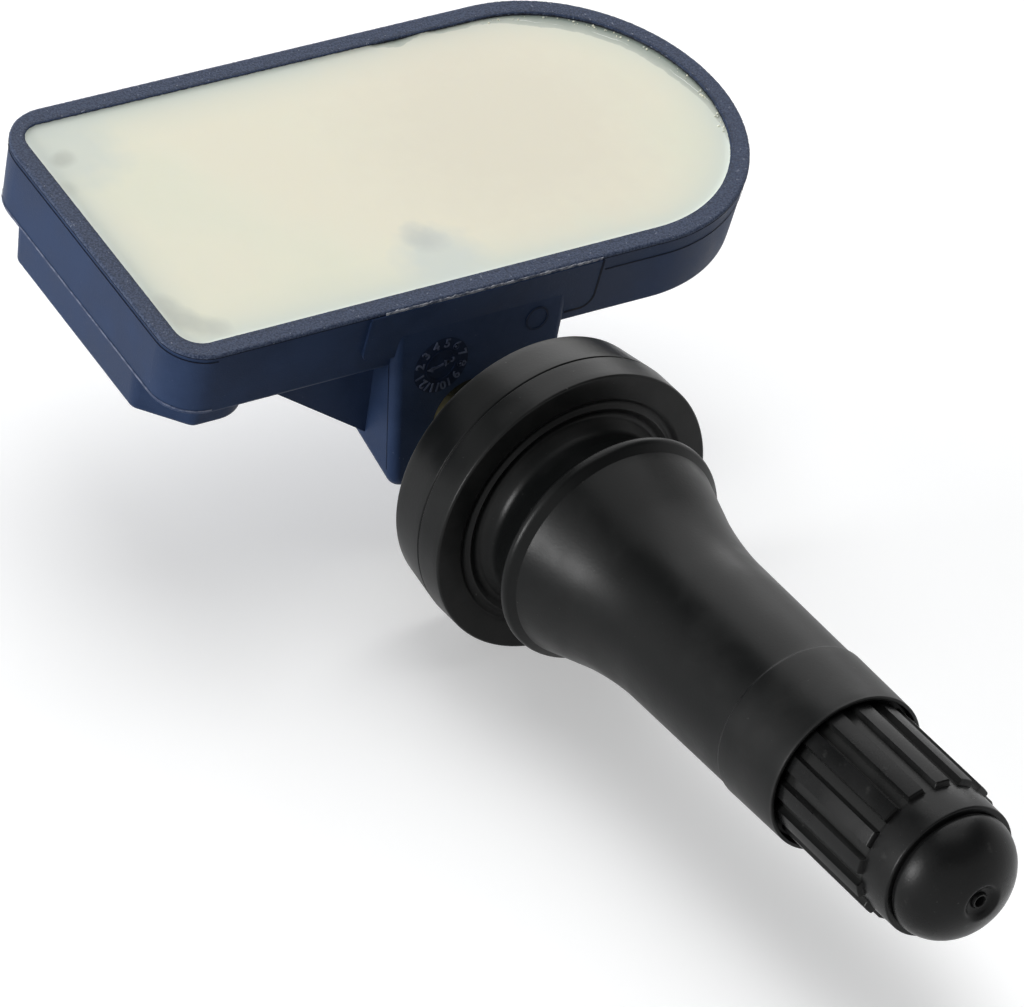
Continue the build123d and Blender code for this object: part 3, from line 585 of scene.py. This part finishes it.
bm = bmesh.new()
milky_layer = bm.verts.layers.float.new("edge")
strip_layer = bm.verts.layers.float.new("strip")
curl = [
    (0.0, -0.42, 1.0), (0.012, -0.07, 1.0), (0.09, -0.13, 1.0), (0.2, -0.18, 0.95),
    (0.4, -0.205, 0.85), (0.65, -0.215, 0.72), (0.95, -0.222, 0.58), (1.3, -0.226, 0.42),
    (1.8, -0.229, 0.26), (2.6, -0.23, 0.1), (3.4, -0.23, 0.0),
]
resin_inset, resin_level = 1.175, -0.21
faces = []
for inwards, height, milk in curl:
    corner = max(0.12, inner_corner - inwards)
    faces.append(tray_face(bm, resin_inset + inwards, (corner, corner), 0.35))
    for vert in faces[-1].verts:
        width = strip_width(vert.co.x, vert.co.y)
        sunk = max(0.0, height - resin_level) * min(1.0, max(0.0, 2 * width))
        vert.co.z = height - sunk
        vert[milky_layer] = milk
        vert[strip_layer] = width - inwards
loops = [face.edges[:] for face in faces]
bmesh.ops.delete(bm, geom=faces, context="FACES_ONLY")
for outer_loop, inner_loop in zip(loops, loops[1:]):
    bmesh.ops.bridge_loops(bm, edges=outer_loop + inner_loop)
middle = bmesh.ops.contextual_create(bm, geom=loops[-1])["faces"]
bmesh.ops.triangulate(bm, faces=middle)
make_piece(bm, "resin_skin", resin, "sensor", sharp=60.0, placed=flat_to_row)

# %% [markdown]
# ## Bubbles in the clear strip
# Where the resin is clear, tiny bubbles were caught at the wall. Each is a small sphere of few faces,
# sunk in the skin; a seeded random draw spreads them along the round end, the same at every run.

# %% Bubbles
bm = bmesh.new()
draw = random.Random(11)
for _ in range(56):
    angle, inwards = math.radians(draw.uniform(-24, 88)), draw.uniform(0.12, 0.42)
    away = half_width - rim_width - inwards
    spot_at = Vector((arc_u + away * math.cos(angle), away * math.sin(angle), -0.15 - 0.12 * inwards))
    bmesh.ops.create_icosphere(
        bm, subdivisions=2, radius=draw.uniform(0.025, 0.075), matrix=Matrix.Translation(spot_at)
    )
make_piece(bm, "resin_bubbles", resin, "sensor", sharp=80.0, placed=flat_to_row)

# %% [markdown]
# ## Dial and marks
# Moulders cut a date dial into the tool: the numbers of the months in a ring with a pointer inside. It
# comes out as low relief on the plate that faces the flange, and the face of the insert behind it is a
# little darker. The numerals and the pointer are paler than the plate, a painted highlight on their
# edges. Text objects give the numerals; each is turned into a mesh, set round the ring with its top
# outwards, and stood up on the plate. Plain rings stand for the other round mark of the tool and for the
# ejector pins under the tray.

# %% Date dial
dial_centre, relief = Vector((-2.57, 11.2, 4.15)), 0.05
on_plate = Matrix.Translation(dial_centre) @ stand_up
bm = bmesh.new()


def add_numeral(bm, text, size, turn, away):
    """Adds a number to the dial, with its top outwards, at a turn and a distance from the centre."""
    letters = bpy.data.curves.new("numeral", "FONT")
    letters.body, letters.size, letters.extrude, letters.offset = text, size, relief, 0.02
    letters.align_x, letters.align_y = "CENTER", "CENTER"
    holder = bpy.data.objects.new("numeral", letters)
    numeral = bpy.data.meshes.new_from_object(holder)
    numeral.transform(
        on_plate @ Matrix.Rotation(turn, 4, "Z") @ Matrix.Translation((away, 0, 0))
        @ Matrix.Rotation(math.radians(-90), 4, "Z")
    )
    bm.from_mesh(numeral)
    bpy.data.objects.remove(holder)
    bpy.data.meshes.remove(numeral)


first_turn, month_turn, pointer_turn = -129, -30, -75
month_size, month_away, inner_size, inner_away = 0.84, 1.52, 0.76, 0.66
for month in range(1, 13):
    turn = math.radians(first_turn + month_turn * month)
    add_numeral(bm, str(month), month_size, turn, month_away)
for text, turn in (("2", 15), ("4", 195)):
    add_numeral(bm, text, inner_size, math.radians(turn), inner_away)
pointer = bmesh.ops.create_circle(bm, cap_ends=True, segments=3, radius=0.3)["verts"]
shaft = bmesh.ops.create_grid(bm, x_segments=1, y_segments=1, size=0.5)["verts"]
bmesh.ops.translate(bm, vec=(0, 0.42, 0), verts=pointer)
bmesh.ops.scale(bm, vec=(0.16, 0.8, 1), verts=shaft)
bmesh.ops.translate(bm, vec=(0, -0.2, 0), verts=shaft)
flat = list({f for v in pointer + shaft for f in v.link_faces})
risen = pull(bm, bmesh.ops.extrude_face_region(bm, geom=flat), (0, 0, relief))
stood = list({v for f in flat for v in f.verts} | set(risen))
pointed = on_plate @ Matrix.Rotation(math.radians(pointer_turn), 4, "Z")
bmesh.ops.transform(bm, matrix=pointed, verts=stood)
# the numerals and the pointer take a paler tone: painted highlight
make_piece(bm, "date_dial", highlit_mark_navy, "sensor")

# %% Insert behind the dial
bm = bmesh.new()
insert_radius, insert_relief = 1.93, 0.012
bmesh.ops.create_circle(bm, cap_ends=True, segments=72, radius=insert_radius)
pull(bm, bmesh.ops.extrude_face_region(bm, geom=bm.faces[:]), (0, 0, insert_relief))
make_piece(bm, "dial_insert", insert_navy, "sensor", placed=on_plate)


# %% Rings of the tool
def raised_rings(name, material, places, radius, width):
    """Low rings, each stood on a surface by its own matrix."""
    bm = bmesh.new()
    for place_at in places:
        circle = bmesh.ops.create_circle(bm, cap_ends=True, segments=64, radius=radius)["verts"]
        face = circle[0].link_faces[0]
        band = bmesh.ops.inset_region(
            bm, faces=[face], thickness=width, use_even_offset=True, use_boundary=True
        )["faces"]
        inner_verts = face.verts[:]
        bmesh.ops.delete(bm, geom=[face], context="FACES_ONLY")
        risen = pull(bm, bmesh.ops.extrude_face_region(bm, geom=band), (0, 0, relief))
        bmesh.ops.transform(bm, matrix=place_at, verts=list({*circle, *inner_verts, *risen}))
    return make_piece(bm, name, material, "sensor")


mark_at = Matrix.Translation((4.12, 11.2, 5.78)) @ stand_up
raised_rings("dial_ring", insert_navy, [on_plate], 1.08, 0.08)
raised_rings("round_mark", insert_navy, [mark_at], 0.82, 0.12)
face_down = Matrix.Rotation(math.pi, 4, "X")
pins = ((18.0, 0.0), (11.5, 6.4), (11.5, -6.4), (1.5, 6.4), (-8.0, 6.8))
under = [flat_to_row @ Matrix.Translation((u, v, -wall_height)) @ face_down for u, v in pins]
raised_rings("ejector_marks", navy, under, 1.3, 0.07)

# %% [markdown]
# ## Rubber of the valve
# The valve's body is one piece of black rubber, moulded round the stem. It is a solid of revolution, so
# a half profile spun round the axis gives all of it. The profile starts as a face with hard corners;
# each corner is bevelled by the reach of its own rounding, because rubber never leaves a mould with a
# sharp edge, and the face is then dropped and its edges are spun. A fine groove round the flange is the
# line where the mould parted. The finish adds a grey bloom, which rubber sweats out with age, and paler
# rings: a band near the cap where it was rubbed, and thin rings on the edges of the flange and at the
# end of the band, which are partly rubbed and partly painted highlights.

# %% Rubber finish
rubber, tree, shader, colour, fine = finish(
    "valve_rubber", (0.0034, 0.0038, 0.0039), (0.0054, 0.0058, 0.0059), 150.0, (0.32, 0.42),
    5200.0, 0.06, {"Specular IOR Level": 0.15},
)
bloom = place(tree, patches, Scale=48.0, Low=0.5, High=0.74)
colour = tint(tree, bloom.outputs["Mask"], colour, (0.0080, 0.0082, 0.0081))
# paler rings: the band near the cap is rubbed, the thin ones on edges are partly rubbed and partly
# painted highlights
worn_and_highlight_rings = [
    (-0.00512, 0.0002, 0.060), (0.0, 0.0003, 0.016),
    (0.0252, 0.0026, 0.016), (0.02795, 0.0002, 0.040),
]
for station, width, tone in worn_and_highlight_rings:
    wear_and_highlight = place(tree, ring, Station=station, Width=width)
    wear_and_highlight_share = math_node(tree, "MULTIPLY", wear_and_highlight.outputs["Mask"], 0.6)
    colour = tint(tree, wear_and_highlight_share, colour, (tone, tone, 0.98 * tone))
speckle(tree, shader, colour, fine, 0.73, (0.045, 0.045, 0.044))

# %% Rubber body
bm = bmesh.new()
outline = [
    (2.5, -5.2, 0), (9.07, -5.2, 0.16), (9.478, -2.2, 0.02), (9.40, -2.11, 0.02), (9.5, -2.02, 0.02),
    (9.5, 0, 0.16), (7.85, 0, 0.12), (7.52, -0.3, 0.22), (7.18, 0, 0.03), (6.65, -0.35, 0.3),
    (5.95, 0.7, 0.25), (5.95, 1.4, 0.42), (6.75, 3.45, 0.1), (7.59, 3.7, 0.2), (7.59, 4.2, 0.2),
    (7.06, 4.65, 0.03), (5.36, 10.3, 2.53), (5.2, 22.7, 0.1), (5.32, 22.82, 0.07), (5.24, 28.0, 0.08),
    (5.0, 28.0, 0.06), (5.0, 27.2, 0.12), (3.85, 27.2, 0), (3.85, 19.0, 0), (3.0, 19.0, 0),
    (3.0, -2.8, 0), (6.2, -2.8, 0), (6.2, -4.0, 0), (2.5, -4.0, 0),
]
bm.faces.new([bm.verts.new((radius, -station, 0)) for radius, station, reach in outline])
for radius, station, reach in outline:
    if reach:
        corner = min(bm.verts, key=lambda v: (v.co - Vector((radius, -station, 0))).length)
        bmesh.ops.bevel(
            bm, geom=[corner], offset=reach, offset_type="OFFSET", profile=0.5, material=-1,
            affect="VERTICES", segments=14 if reach > 1 else 6,
        )
bmesh.ops.delete(bm, geom=bm.faces[:], context="FACES_ONLY")
for edge in [e for e in bm.edges if e.calc_length() > 1.5]:
    bmesh.ops.subdivide_edges(bm, edges=[edge], cuts=math.ceil(edge.calc_length() / 0.8))
bmesh.ops.spin(
    bm, geom=bm.verts[:] + bm.edges[:], cent=(0, 0, 0), axis=(0, 1, 0), angle=2 * math.pi, steps=216,
    use_merge=True,
)
make_piece(bm, "rubber_body", rubber, "sensor", ["valve_rubber"], sharp=50.0)

# %% [markdown]
# ## The cap
# The cap is hard black plastic with sixteen grip ribs, a plain nose and a dome with the dish where the
# plastic was let into the mould. It could be cut from a solid, but its ribs have soft shoulders that a
# cut would not give. So one loop of points is drawn out ring by ring along the axis, from the blind end
# inside, round the mouth and over the outside; each ring has its own radius and says how much of the rib
# it carries. Between the ribs the colour is painted paler, painted light against the shade the floors
# lie in, and an attribute of the mesh says where; the end faces of the ribs are painted dark, as painted
# shade.

# %% Cap finish
cap_black, tree, shader, colour, fine = finish(
    "cap_plastic", (0.0040, 0.0042, 0.0043), (0.0060, 0.0062, 0.0063), 260.0, (0.26, 0.36),
    7000.0, 0.07, {"Specular IOR Level": 0.15},
)
scuff = place(tree, patches, Scale=900.0, Low=0.62, High=0.76)
colour = tint(tree, scuff.outputs["Mask"], colour, (0.022, 0.022, 0.0215))
# painted light: the floors between the ribs are made paler against the shade they lie in
gap_light = add(tree, "ShaderNodeAttribute", {"attribute_name": "gap"})
colour = tint(tree, gap_light.outputs["Fac"], colour, (0.0115, 0.0118, 0.0116))
# painted shade: the end faces of the ribs are darkened
rib_end = place(tree, ring, Station=0.03577, Width=0.00012)
shaded_rib_ends = math_node(tree, "MULTIPLY", rib_end.outputs["Mask"], 2.5, True)
colour = tint(tree, shaded_rib_ends, colour, (0.0012, 0.0012, 0.0012))
speckle(tree, shader, colour, fine, 0.72, (0.045, 0.045, 0.044))

# %% Ribs and rings
ribs, per_rib, rib_height, rib_half, rib_turn = 16, 24, 0.36, 0.525, math.radians(-3)


def rib_share(angle):
    """How much of the rib's height a point at this angle has, with soft shoulders."""
    pitch = 2 * math.pi / ribs
    across = abs((angle - rib_turn + pitch / 2) % pitch - pitch / 2) * 4.6
    rise = min(1.0, max(0.0, (rib_half + 0.06 - across) / 0.13))
    return rise * rise * (3 - 2 * rise)


def draw_out(bm, edges, rings):
    """Draws a loop of edges out through rings of station, radius and share of the rib."""
    for station, radius, share in rings:
        drawn = bmesh.ops.extrude_edge_only(bm, edges=edges)
        edges = [g for g in drawn["geom"] if isinstance(g, bmesh.types.BMEdge)]
        for vert in drawn_verts(drawn):
            angle = math.atan2(vert.co.z, vert.co.x)
            reach = radius + share * rib_height * rib_share(angle)
            vert.co = (reach * math.cos(angle), -station, reach * math.sin(angle))
    return edges


# %% Cap shell
blind_end, blind_radius = 39.55, 2.4
ribs_from, ribs_to, outside = 27.7, 35.8, 4.3
bm = bmesh.new()
bmesh.ops.create_circle(bm, cap_ends=True, segments=ribs * per_rib, radius=blind_radius)
turn_down = Matrix.Rotation(-rib_turn, 3, "Y") @ Matrix.Rotation(math.radians(90), 3, "X")
bmesh.ops.rotate(bm, cent=(0, 0, 0), matrix=turn_down, verts=bm.verts[:])
bmesh.ops.translate(bm, vec=(0, -blind_end, 0), verts=bm.verts[:])
inside = [
    (36.96, blind_radius, 0), (36.96, 3.95, 0), (27.75, 3.95, 0), (27.55, 4.1, 0), (27.55, 4.3, 0),
]
skirt = [
    (27.58, 4.36, 0.35), (27.66, 4.4, 0.85), (27.8, 4.42, 1), (27.95, 4.42, 1), (35.66, 4.42, 1),
    (35.74, 4.42, 0.94), (35.79, 4.42, 0.75), (35.81, 4.42, 0.1), (35.83, 4.42, 0),
]
nose = [
    (35.9, 4.42, 0), (36.0, 4.42, 0), (37.85, 4.4, 0), (37.94, 4.385, 0), (37.99, 4.34, 0),
    (38.0, 4.27, 0), (38.0, 3.94, 0), (38.02, 3.92, 0), (38.12, 3.92, 0), (38.14, 3.94, 0),
    (38.15, 4.02, 0), (38.19, 4.05, 0),
]
dome_turns = [math.radians(5 * k) for k in range(1, 15)]
dome = [(38.14 + 3.15 * math.sin(t), 4.06 * math.cos(t), 0) for t in dome_turns]
gate = [
    (41.12, 1.3, 0), (41.13, 1.22, 0), (41.11, 1.14, 0), (40.9, 0.95, 0), (40.8, 0.8, 0),
    (40.76, 0.64, 0), (40.77, 0.56, 0), (40.92, 0.5, 0), (40.97, 0.45, 0), (40.96, 0.37, 0),
    (40.86, 0.32, 0), (40.3, 0.26, 0), (40.22, 0.2, 0), (40.2, 0.06, 0),
]
last_ring = draw_out(bm, bm.edges[:], inside + skirt + nose + dome + gate)
bmesh.ops.contextual_create(bm, geom=last_ring)
# attribute for the painted light between the ribs
gap_light_layer = bm.verts.layers.float.new("gap")
for vert in bm.verts:
    if ribs_from < -vert.co.y < ribs_to and math.hypot(vert.co.x, vert.co.z) > outside:
        vert[gap_light_layer] = 1 - rib_share(math.atan2(vert.co.z, vert.co.x))
make_piece(bm, "cap_shell", cap_black, "cap", ["valve_cap"], sharp=42.0)

# %% [markdown]
# ## Brass stem and its thread
# Under the cap the stem ends in a fine thread. The imported stem is plain there, with the thread's outer
# size. A copy of it is merged and cut off inside the rubber, and a real thread takes over from the cut:
# one pitch of the thread's profile is spun round the axis while each step also moves along it, which is
# how a screw is made with the spin operator. The tail behind the flange is darkened to a dark olive, a
# painted shade.

# %% Brass finishes
brass, tree, shader, colour, fine = finish(
    "stem_brass", (0.50, 0.36, 0.14), (0.66, 0.49, 0.21), 240.0, (0.26, 0.40), 5200.0, 0.12,
    {"Metallic": 1.0}, lathe=True,
)
# painted shade: the tail behind the flange is darkened to a dark olive
tail_shade = place(tree, spot, Centre=(0.0, 0.0085, 0.0), Radius=0.008)
colour = tint(tree, tail_shade.outputs["Mask"], colour, (0.260, 0.240, 0.140))
feed(tree, shader.inputs["Base Color"], colour)
core_brass = finish(
    "core_brass", (0.56, 0.40, 0.15), (0.74, 0.55, 0.23), 500.0, (0.22, 0.36), 9000.0, 0.10,
    {"Metallic": 1.0}, lathe=True,
)[0]

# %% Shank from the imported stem
thread_from, thread_to, chamfer_from = 27.0, 36.2, 35.6
bm = bmesh.new()
bm.from_mesh(nodes["valve_stem"].data)
bmesh.ops.scale(bm, vec=(1000, 1000, 1000), verts=bm.verts[:])
bmesh.ops.remove_doubles(bm, verts=bm.verts[:], dist=1e-4)
bmesh.ops.bridge_loops(bm, edges=cut_off(bm, (0, -thread_from, 0), (0, -1, 0)))
make_piece(bm, "stem_shank", brass, "sensor", ["valve_stem"], sharp=28.0)

# %% Threaded end
pitch, cuts_per_turn, turns, first_tooth = 0.794, 48, 16, 25.4
root, crest, bore, core_seat = 3.40, 3.85, 2.65, 2.05
tooth = [
    (root, 0.0), (root, 0.10), (3.78, 0.32), (crest, 0.37), (crest, 0.43), (3.78, 0.48),
    (root, 0.70), (root, pitch),
]
bm = bmesh.new()
chain = [bm.verts.new((radius, -first_tooth - along, 0)) for radius, along in tooth]
links = [bm.edges.new(pair) for pair in zip(chain, chain[1:])]
bmesh.ops.spin(
    bm, geom=chain + links, cent=(0, 0, 0), axis=(0, -1, 0), dvec=(0, -pitch / cuts_per_turn, 0),
    angle=2 * math.pi * turns, steps=cuts_per_turn * turns, use_merge=False,
)
bmesh.ops.remove_doubles(bm, verts=bm.verts[:], dist=0.002)
for station, outwards in ((thread_from, 1), (thread_to, -1)):
    cut_off(bm, (0, -station, 0), (0, outwards, 0))
for vert in bm.verts:
    reach = math.hypot(vert.co.x, vert.co.z)
    allowed = min(crest, crest - 0.8 * (-vert.co.y - chamfer_from))
    if reach > allowed:
        vert.co.x *= allowed / reach
        vert.co.z *= allowed / reach
at_end = 0.01 - thread_to
end_edges = [e for e in bm.edges if e.is_boundary and all(v.co.y < at_end for v in e.verts)]
mouth = [(thread_to, bore + 0.1, 0), (36.05, bore, 0), (31.0, bore, 0)]
draw_out(bm, end_edges, mouth + [(31.0, core_seat, 0), (thread_from, core_seat, 0)])
bmesh.ops.bridge_loops(bm, edges=[e for e in bm.edges if e.is_boundary])
make_piece(bm, "stem_thread", brass, "sensor", sharp=40.0)

# %% [markdown]
# ## Small parts
# The core, its pin, the screw behind the plate and the electronics keep their imported shapes, which are
# right. Each takes its own finish from the recipe: turned brass, zinc-plated steel, green board, black
# epoxy, ferrite and so on, though most of them sit under the potting.

# %% Finishes for the imported parts
steel = (0.46, 0.46, 0.47), (0.60, 0.60, 0.60)
bright = (0.55, 0.55, 0.55), (0.68, 0.68, 0.67)
nickel = (0.50, 0.49, 0.46), (0.62, 0.61, 0.57)
warm_nickel = (0.55, 0.53, 0.46), (0.68, 0.66, 0.58)
copper = (0.42, 0.15, 0.055), (0.60, 0.24, 0.10)
pale_copper = (0.50, 0.19, 0.075), (0.66, 0.28, 0.12)
black = (0.012, 0.012, 0.012), (0.024, 0.024, 0.025)
dark_grey = (0.030, 0.030, 0.032), (0.055, 0.055, 0.057)
pale_grey = (0.36, 0.35, 0.33), (0.46, 0.45, 0.42)
red = (0.52, 0.10, 0.055), (0.62, 0.14, 0.08)
green = (0.020, 0.085, 0.035), (0.030, 0.125, 0.050)
tan = (0.30, 0.20, 0.11), (0.40, 0.28, 0.16)
plain_parts = {
    "fixing_screw": ("screw_steel", steel, 600.0, (0.25, 0.42), 6000.0, 0.1, 1.0),
    "cap_washer": ("seal_rubber", black, 700.0, (0.5, 0.65), 6000.0, 0.1, 0.0),
    "cup_seal": ("seal_rubber_cup", black, 900.0, (0.5, 0.65), 6000.0, 0.1, 0.0),
    "core_gasket": ("gasket_resin", red, 700.0, (0.35, 0.5), 6000.0, 0.08, 0.0),
    "core_spring": ("spring_steel", steel, 900.0, (0.22, 0.36), 9000.0, 0.06, 1.0),
    "battery_cell": ("cell_steel", bright, 300.0, (0.22, 0.36), 3000.0, 0.06, 1.0),
    "pole_tab": ("tab_nickel", nickel, 500.0, (0.24, 0.4), 4000.0, 0.06, 1.0),
    "can_tab": ("tab_nickel_can", nickel, 450.0, (0.24, 0.4), 4000.0, 0.06, 1.0),
    "circuit_board": ("board_laminate", green, 500.0, (0.3, 0.45), 5000.0, 0.08, 0.0),
    "sensor_chip": ("chip_epoxy", black, 800.0, (0.45, 0.6), 7000.0, 0.12, 0.0),
    "port_seal": ("seal_silicone", pale_grey, 600.0, (0.45, 0.6), 5000.0, 0.08, 0.0),
    "coil_core": ("ferrite", dark_grey, 900.0, (0.5, 0.68), 7000.0, 0.15, 0.0),
    "coil_winding": ("winding_copper", copper, 900.0, (0.25, 0.4), 5200.0, 0.25, 1.0),
    "antenna": ("antenna_copper", pale_copper, 500.0, (0.25, 0.4), 4000.0, 0.08, 1.0),
    "crystal": ("crystal_can", warm_nickel, 700.0, (0.22, 0.36), 5000.0, 0.06, 1.0),
    "capacitors": ("capacitor_ceramic", tan, 900.0, (0.35, 0.5), 6000.0, 0.08, 0.0),
}
for node_name, (label, tones, *numbers, metal) in plain_parts.items():
    wound = node_name == "coil_winding"
    dress(node_name, finish(label, *tones, *numbers, {"Metallic": metal}, lathe=wound)[0])
for node_name in ("core_body", "core_pin"):
    dress(node_name, core_brass)
print("packed parts with a finish:", len(plain_parts) + 2)

# %% [markdown]
# ## Spring of the core
# Pressing the pin shortens the spring behind its collar. The spring is wound from wire, and its packed
# coil is right, so it is copied into a piece of its own, with a mesh of its own, that rides on the
# sensor.

# %% Spring as a piece of its own
bm = bmesh.new()
bm.from_mesh(nodes["core_spring"].data)
bmesh.ops.scale(bm, vec=(1000, 1000, 1000), verts=bm.verts[:])
spring_steel = bpy.data.materials["spring_steel"]
spring = make_piece(bm, "spring_coil", spring_steel, "sensor", ["core_spring"])
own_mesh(spring)

# %% [markdown]
# ## Floor, light and camera
# The picture is a product shot on white: a pale floor that fades into a white surround, a large soft
# lamp overhead, a larger one at the back on the right and a small, low one on the left. The floor and
# the surround turn white for the camera and for reflections by Light Path, so no extra light falls on
# the object to bleach the background, and the floor still carries the soft shadow. Higher up the
# surround darkens like the ceiling of a studio, except for a white wall on the left. In the black
# rubber the ceiling's reflection is a dark band, and that of the lamp at the back a bright streak.

# %% Floor
floor_level, floor_half, floor_glow = -0.00955, 3.0, 0.28
bm = bmesh.new()
bmesh.ops.create_grid(bm, x_segments=2, y_segments=2, size=floor_half)
bmesh.ops.translate(bm, vec=(0, 0, floor_level), verts=bm.verts[:])
floor_mesh = bpy.data.meshes.new("floor")
bm.to_mesh(floor_mesh)
bm.free()
floor = bpy.data.objects.new("floor", floor_mesh)
bpy.context.scene.collection.objects.link(floor)
paper = bpy.data.materials.new("floor_paper")
paper.use_nodes = True
sheet = paper.node_tree


def seen_directly(tree):
    """Mask of the rays that see a background: camera, glossy and transmission rays."""
    path = add(tree, "ShaderNodeLightPath")
    seen = math_node(tree, "MAXIMUM", path.outputs["Is Camera Ray"], path.outputs["Is Glossy Ray"])
    return math_node(tree, "MAXIMUM", seen, path.outputs["Is Transmission Ray"])


looks = {
    "Base Color": (0.84, 0.845, 0.85, 1), "Roughness": 0.9, "Specular IOR Level": 0.0,
    "Emission Color": (1, 1, 1, 1),
    "Emission Strength": math_node(sheet, "MULTIPLY", seen_directly(sheet), floor_glow),
}
for label, value in looks.items():
    feed(sheet, sheet.nodes["Principled BSDF"].inputs[label], value)
floor_mesh.materials.append(paper)
floor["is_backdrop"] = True
print("floor at mm:", round(1000 * floor_level, 2))

# %% World
world = bpy.data.worlds.new("white_surround")
bpy.context.scene.world = world
world.use_nodes = True
sky = world.node_tree
back = sky.nodes["Background"]
back.inputs["Color"].default_value = (1, 1, 1, 1)
heading = add(sky, "ShaderNodeTexCoord").outputs["Generated"]
axes = add(sky, "ShaderNodeSeparateXYZ", None, {"Vector": heading})
smooth, light_level = {"interpolation_type": "SMOOTHSTEP"}, 0.25
left_wall = add(sky, "ShaderNodeMapRange", smooth, {
    "Value": axes.outputs["X"],
    "From Min": -0.75, "From Max": -0.40, "To Min": 0.85, "To Max": 0.12,
})
ceiling = add(sky, "ShaderNodeMapRange", smooth, {
    "Value": axes.outputs["Z"],
    "From Min": 0.30, "From Max": 0.66, "To Min": 1.0, "To Max": left_wall.outputs["Result"],
})
mixed = {0: seen_directly(sky), 2: light_level, 3: ceiling.outputs["Result"]}
level = add(sky, "ShaderNodeMix", {"data_type": "FLOAT"}, mixed)
feed(sky, back.inputs["Strength"], level.outputs[0])
print("surround:", world.name, "with a light level of", light_level)


# %% Lamps
def soft_lamp(name, place_at, size, power):
    """Large square lamp that faces the origin."""
    lamp = bpy.data.lights.new(name, "AREA")
    lamp.size, lamp.energy = size, power
    holder = bpy.data.objects.new(name, lamp)
    holder.location = place_at
    holder.rotation_euler = (-Vector(place_at)).to_track_quat("-Z", "Y").to_euler()
    bpy.context.scene.collection.objects.link(holder)
    print("lamp:", name, "watts:", power)


soft_lamp("overhead", (0.10, 0.15, 0.95), 0.8, 3.4)
soft_lamp("back_right", (0.42, 0.70, 0.62), 1.0, 6.4)
soft_lamp("left", (-0.92, 0.05, 0.17), 0.32, 7.6)

# %% Camera
view = bpy.data.cameras.new("camera")
view.sensor_fit, view.sensor_width, view.lens = "HORIZONTAL", 36.0, 296.86
camera = bpy.data.objects.new("camera", view)
camera.matrix_world = Matrix((
    (0.822396, 0.226822, -0.521743, -0.26302),
    (-0.553466, 0.531250, -0.641443, -0.31770),
    (0.131682, 0.816288, 0.562436, 0.28048),
    (0, 0, 0, 1),
))
bpy.context.scene.collection.objects.link(camera)
bpy.context.scene.camera = camera
bpy.context.scene.view_settings.view_transform = "Standard"
print("lens in mm:", round(view.lens, 2))

# %% Sizes and the last check
new_low, new_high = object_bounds()
grown = (*(cad_low - new_low), *(new_high - cad_high))
print("grown by mm:", [round(1000 * x, 3) for x in grown])
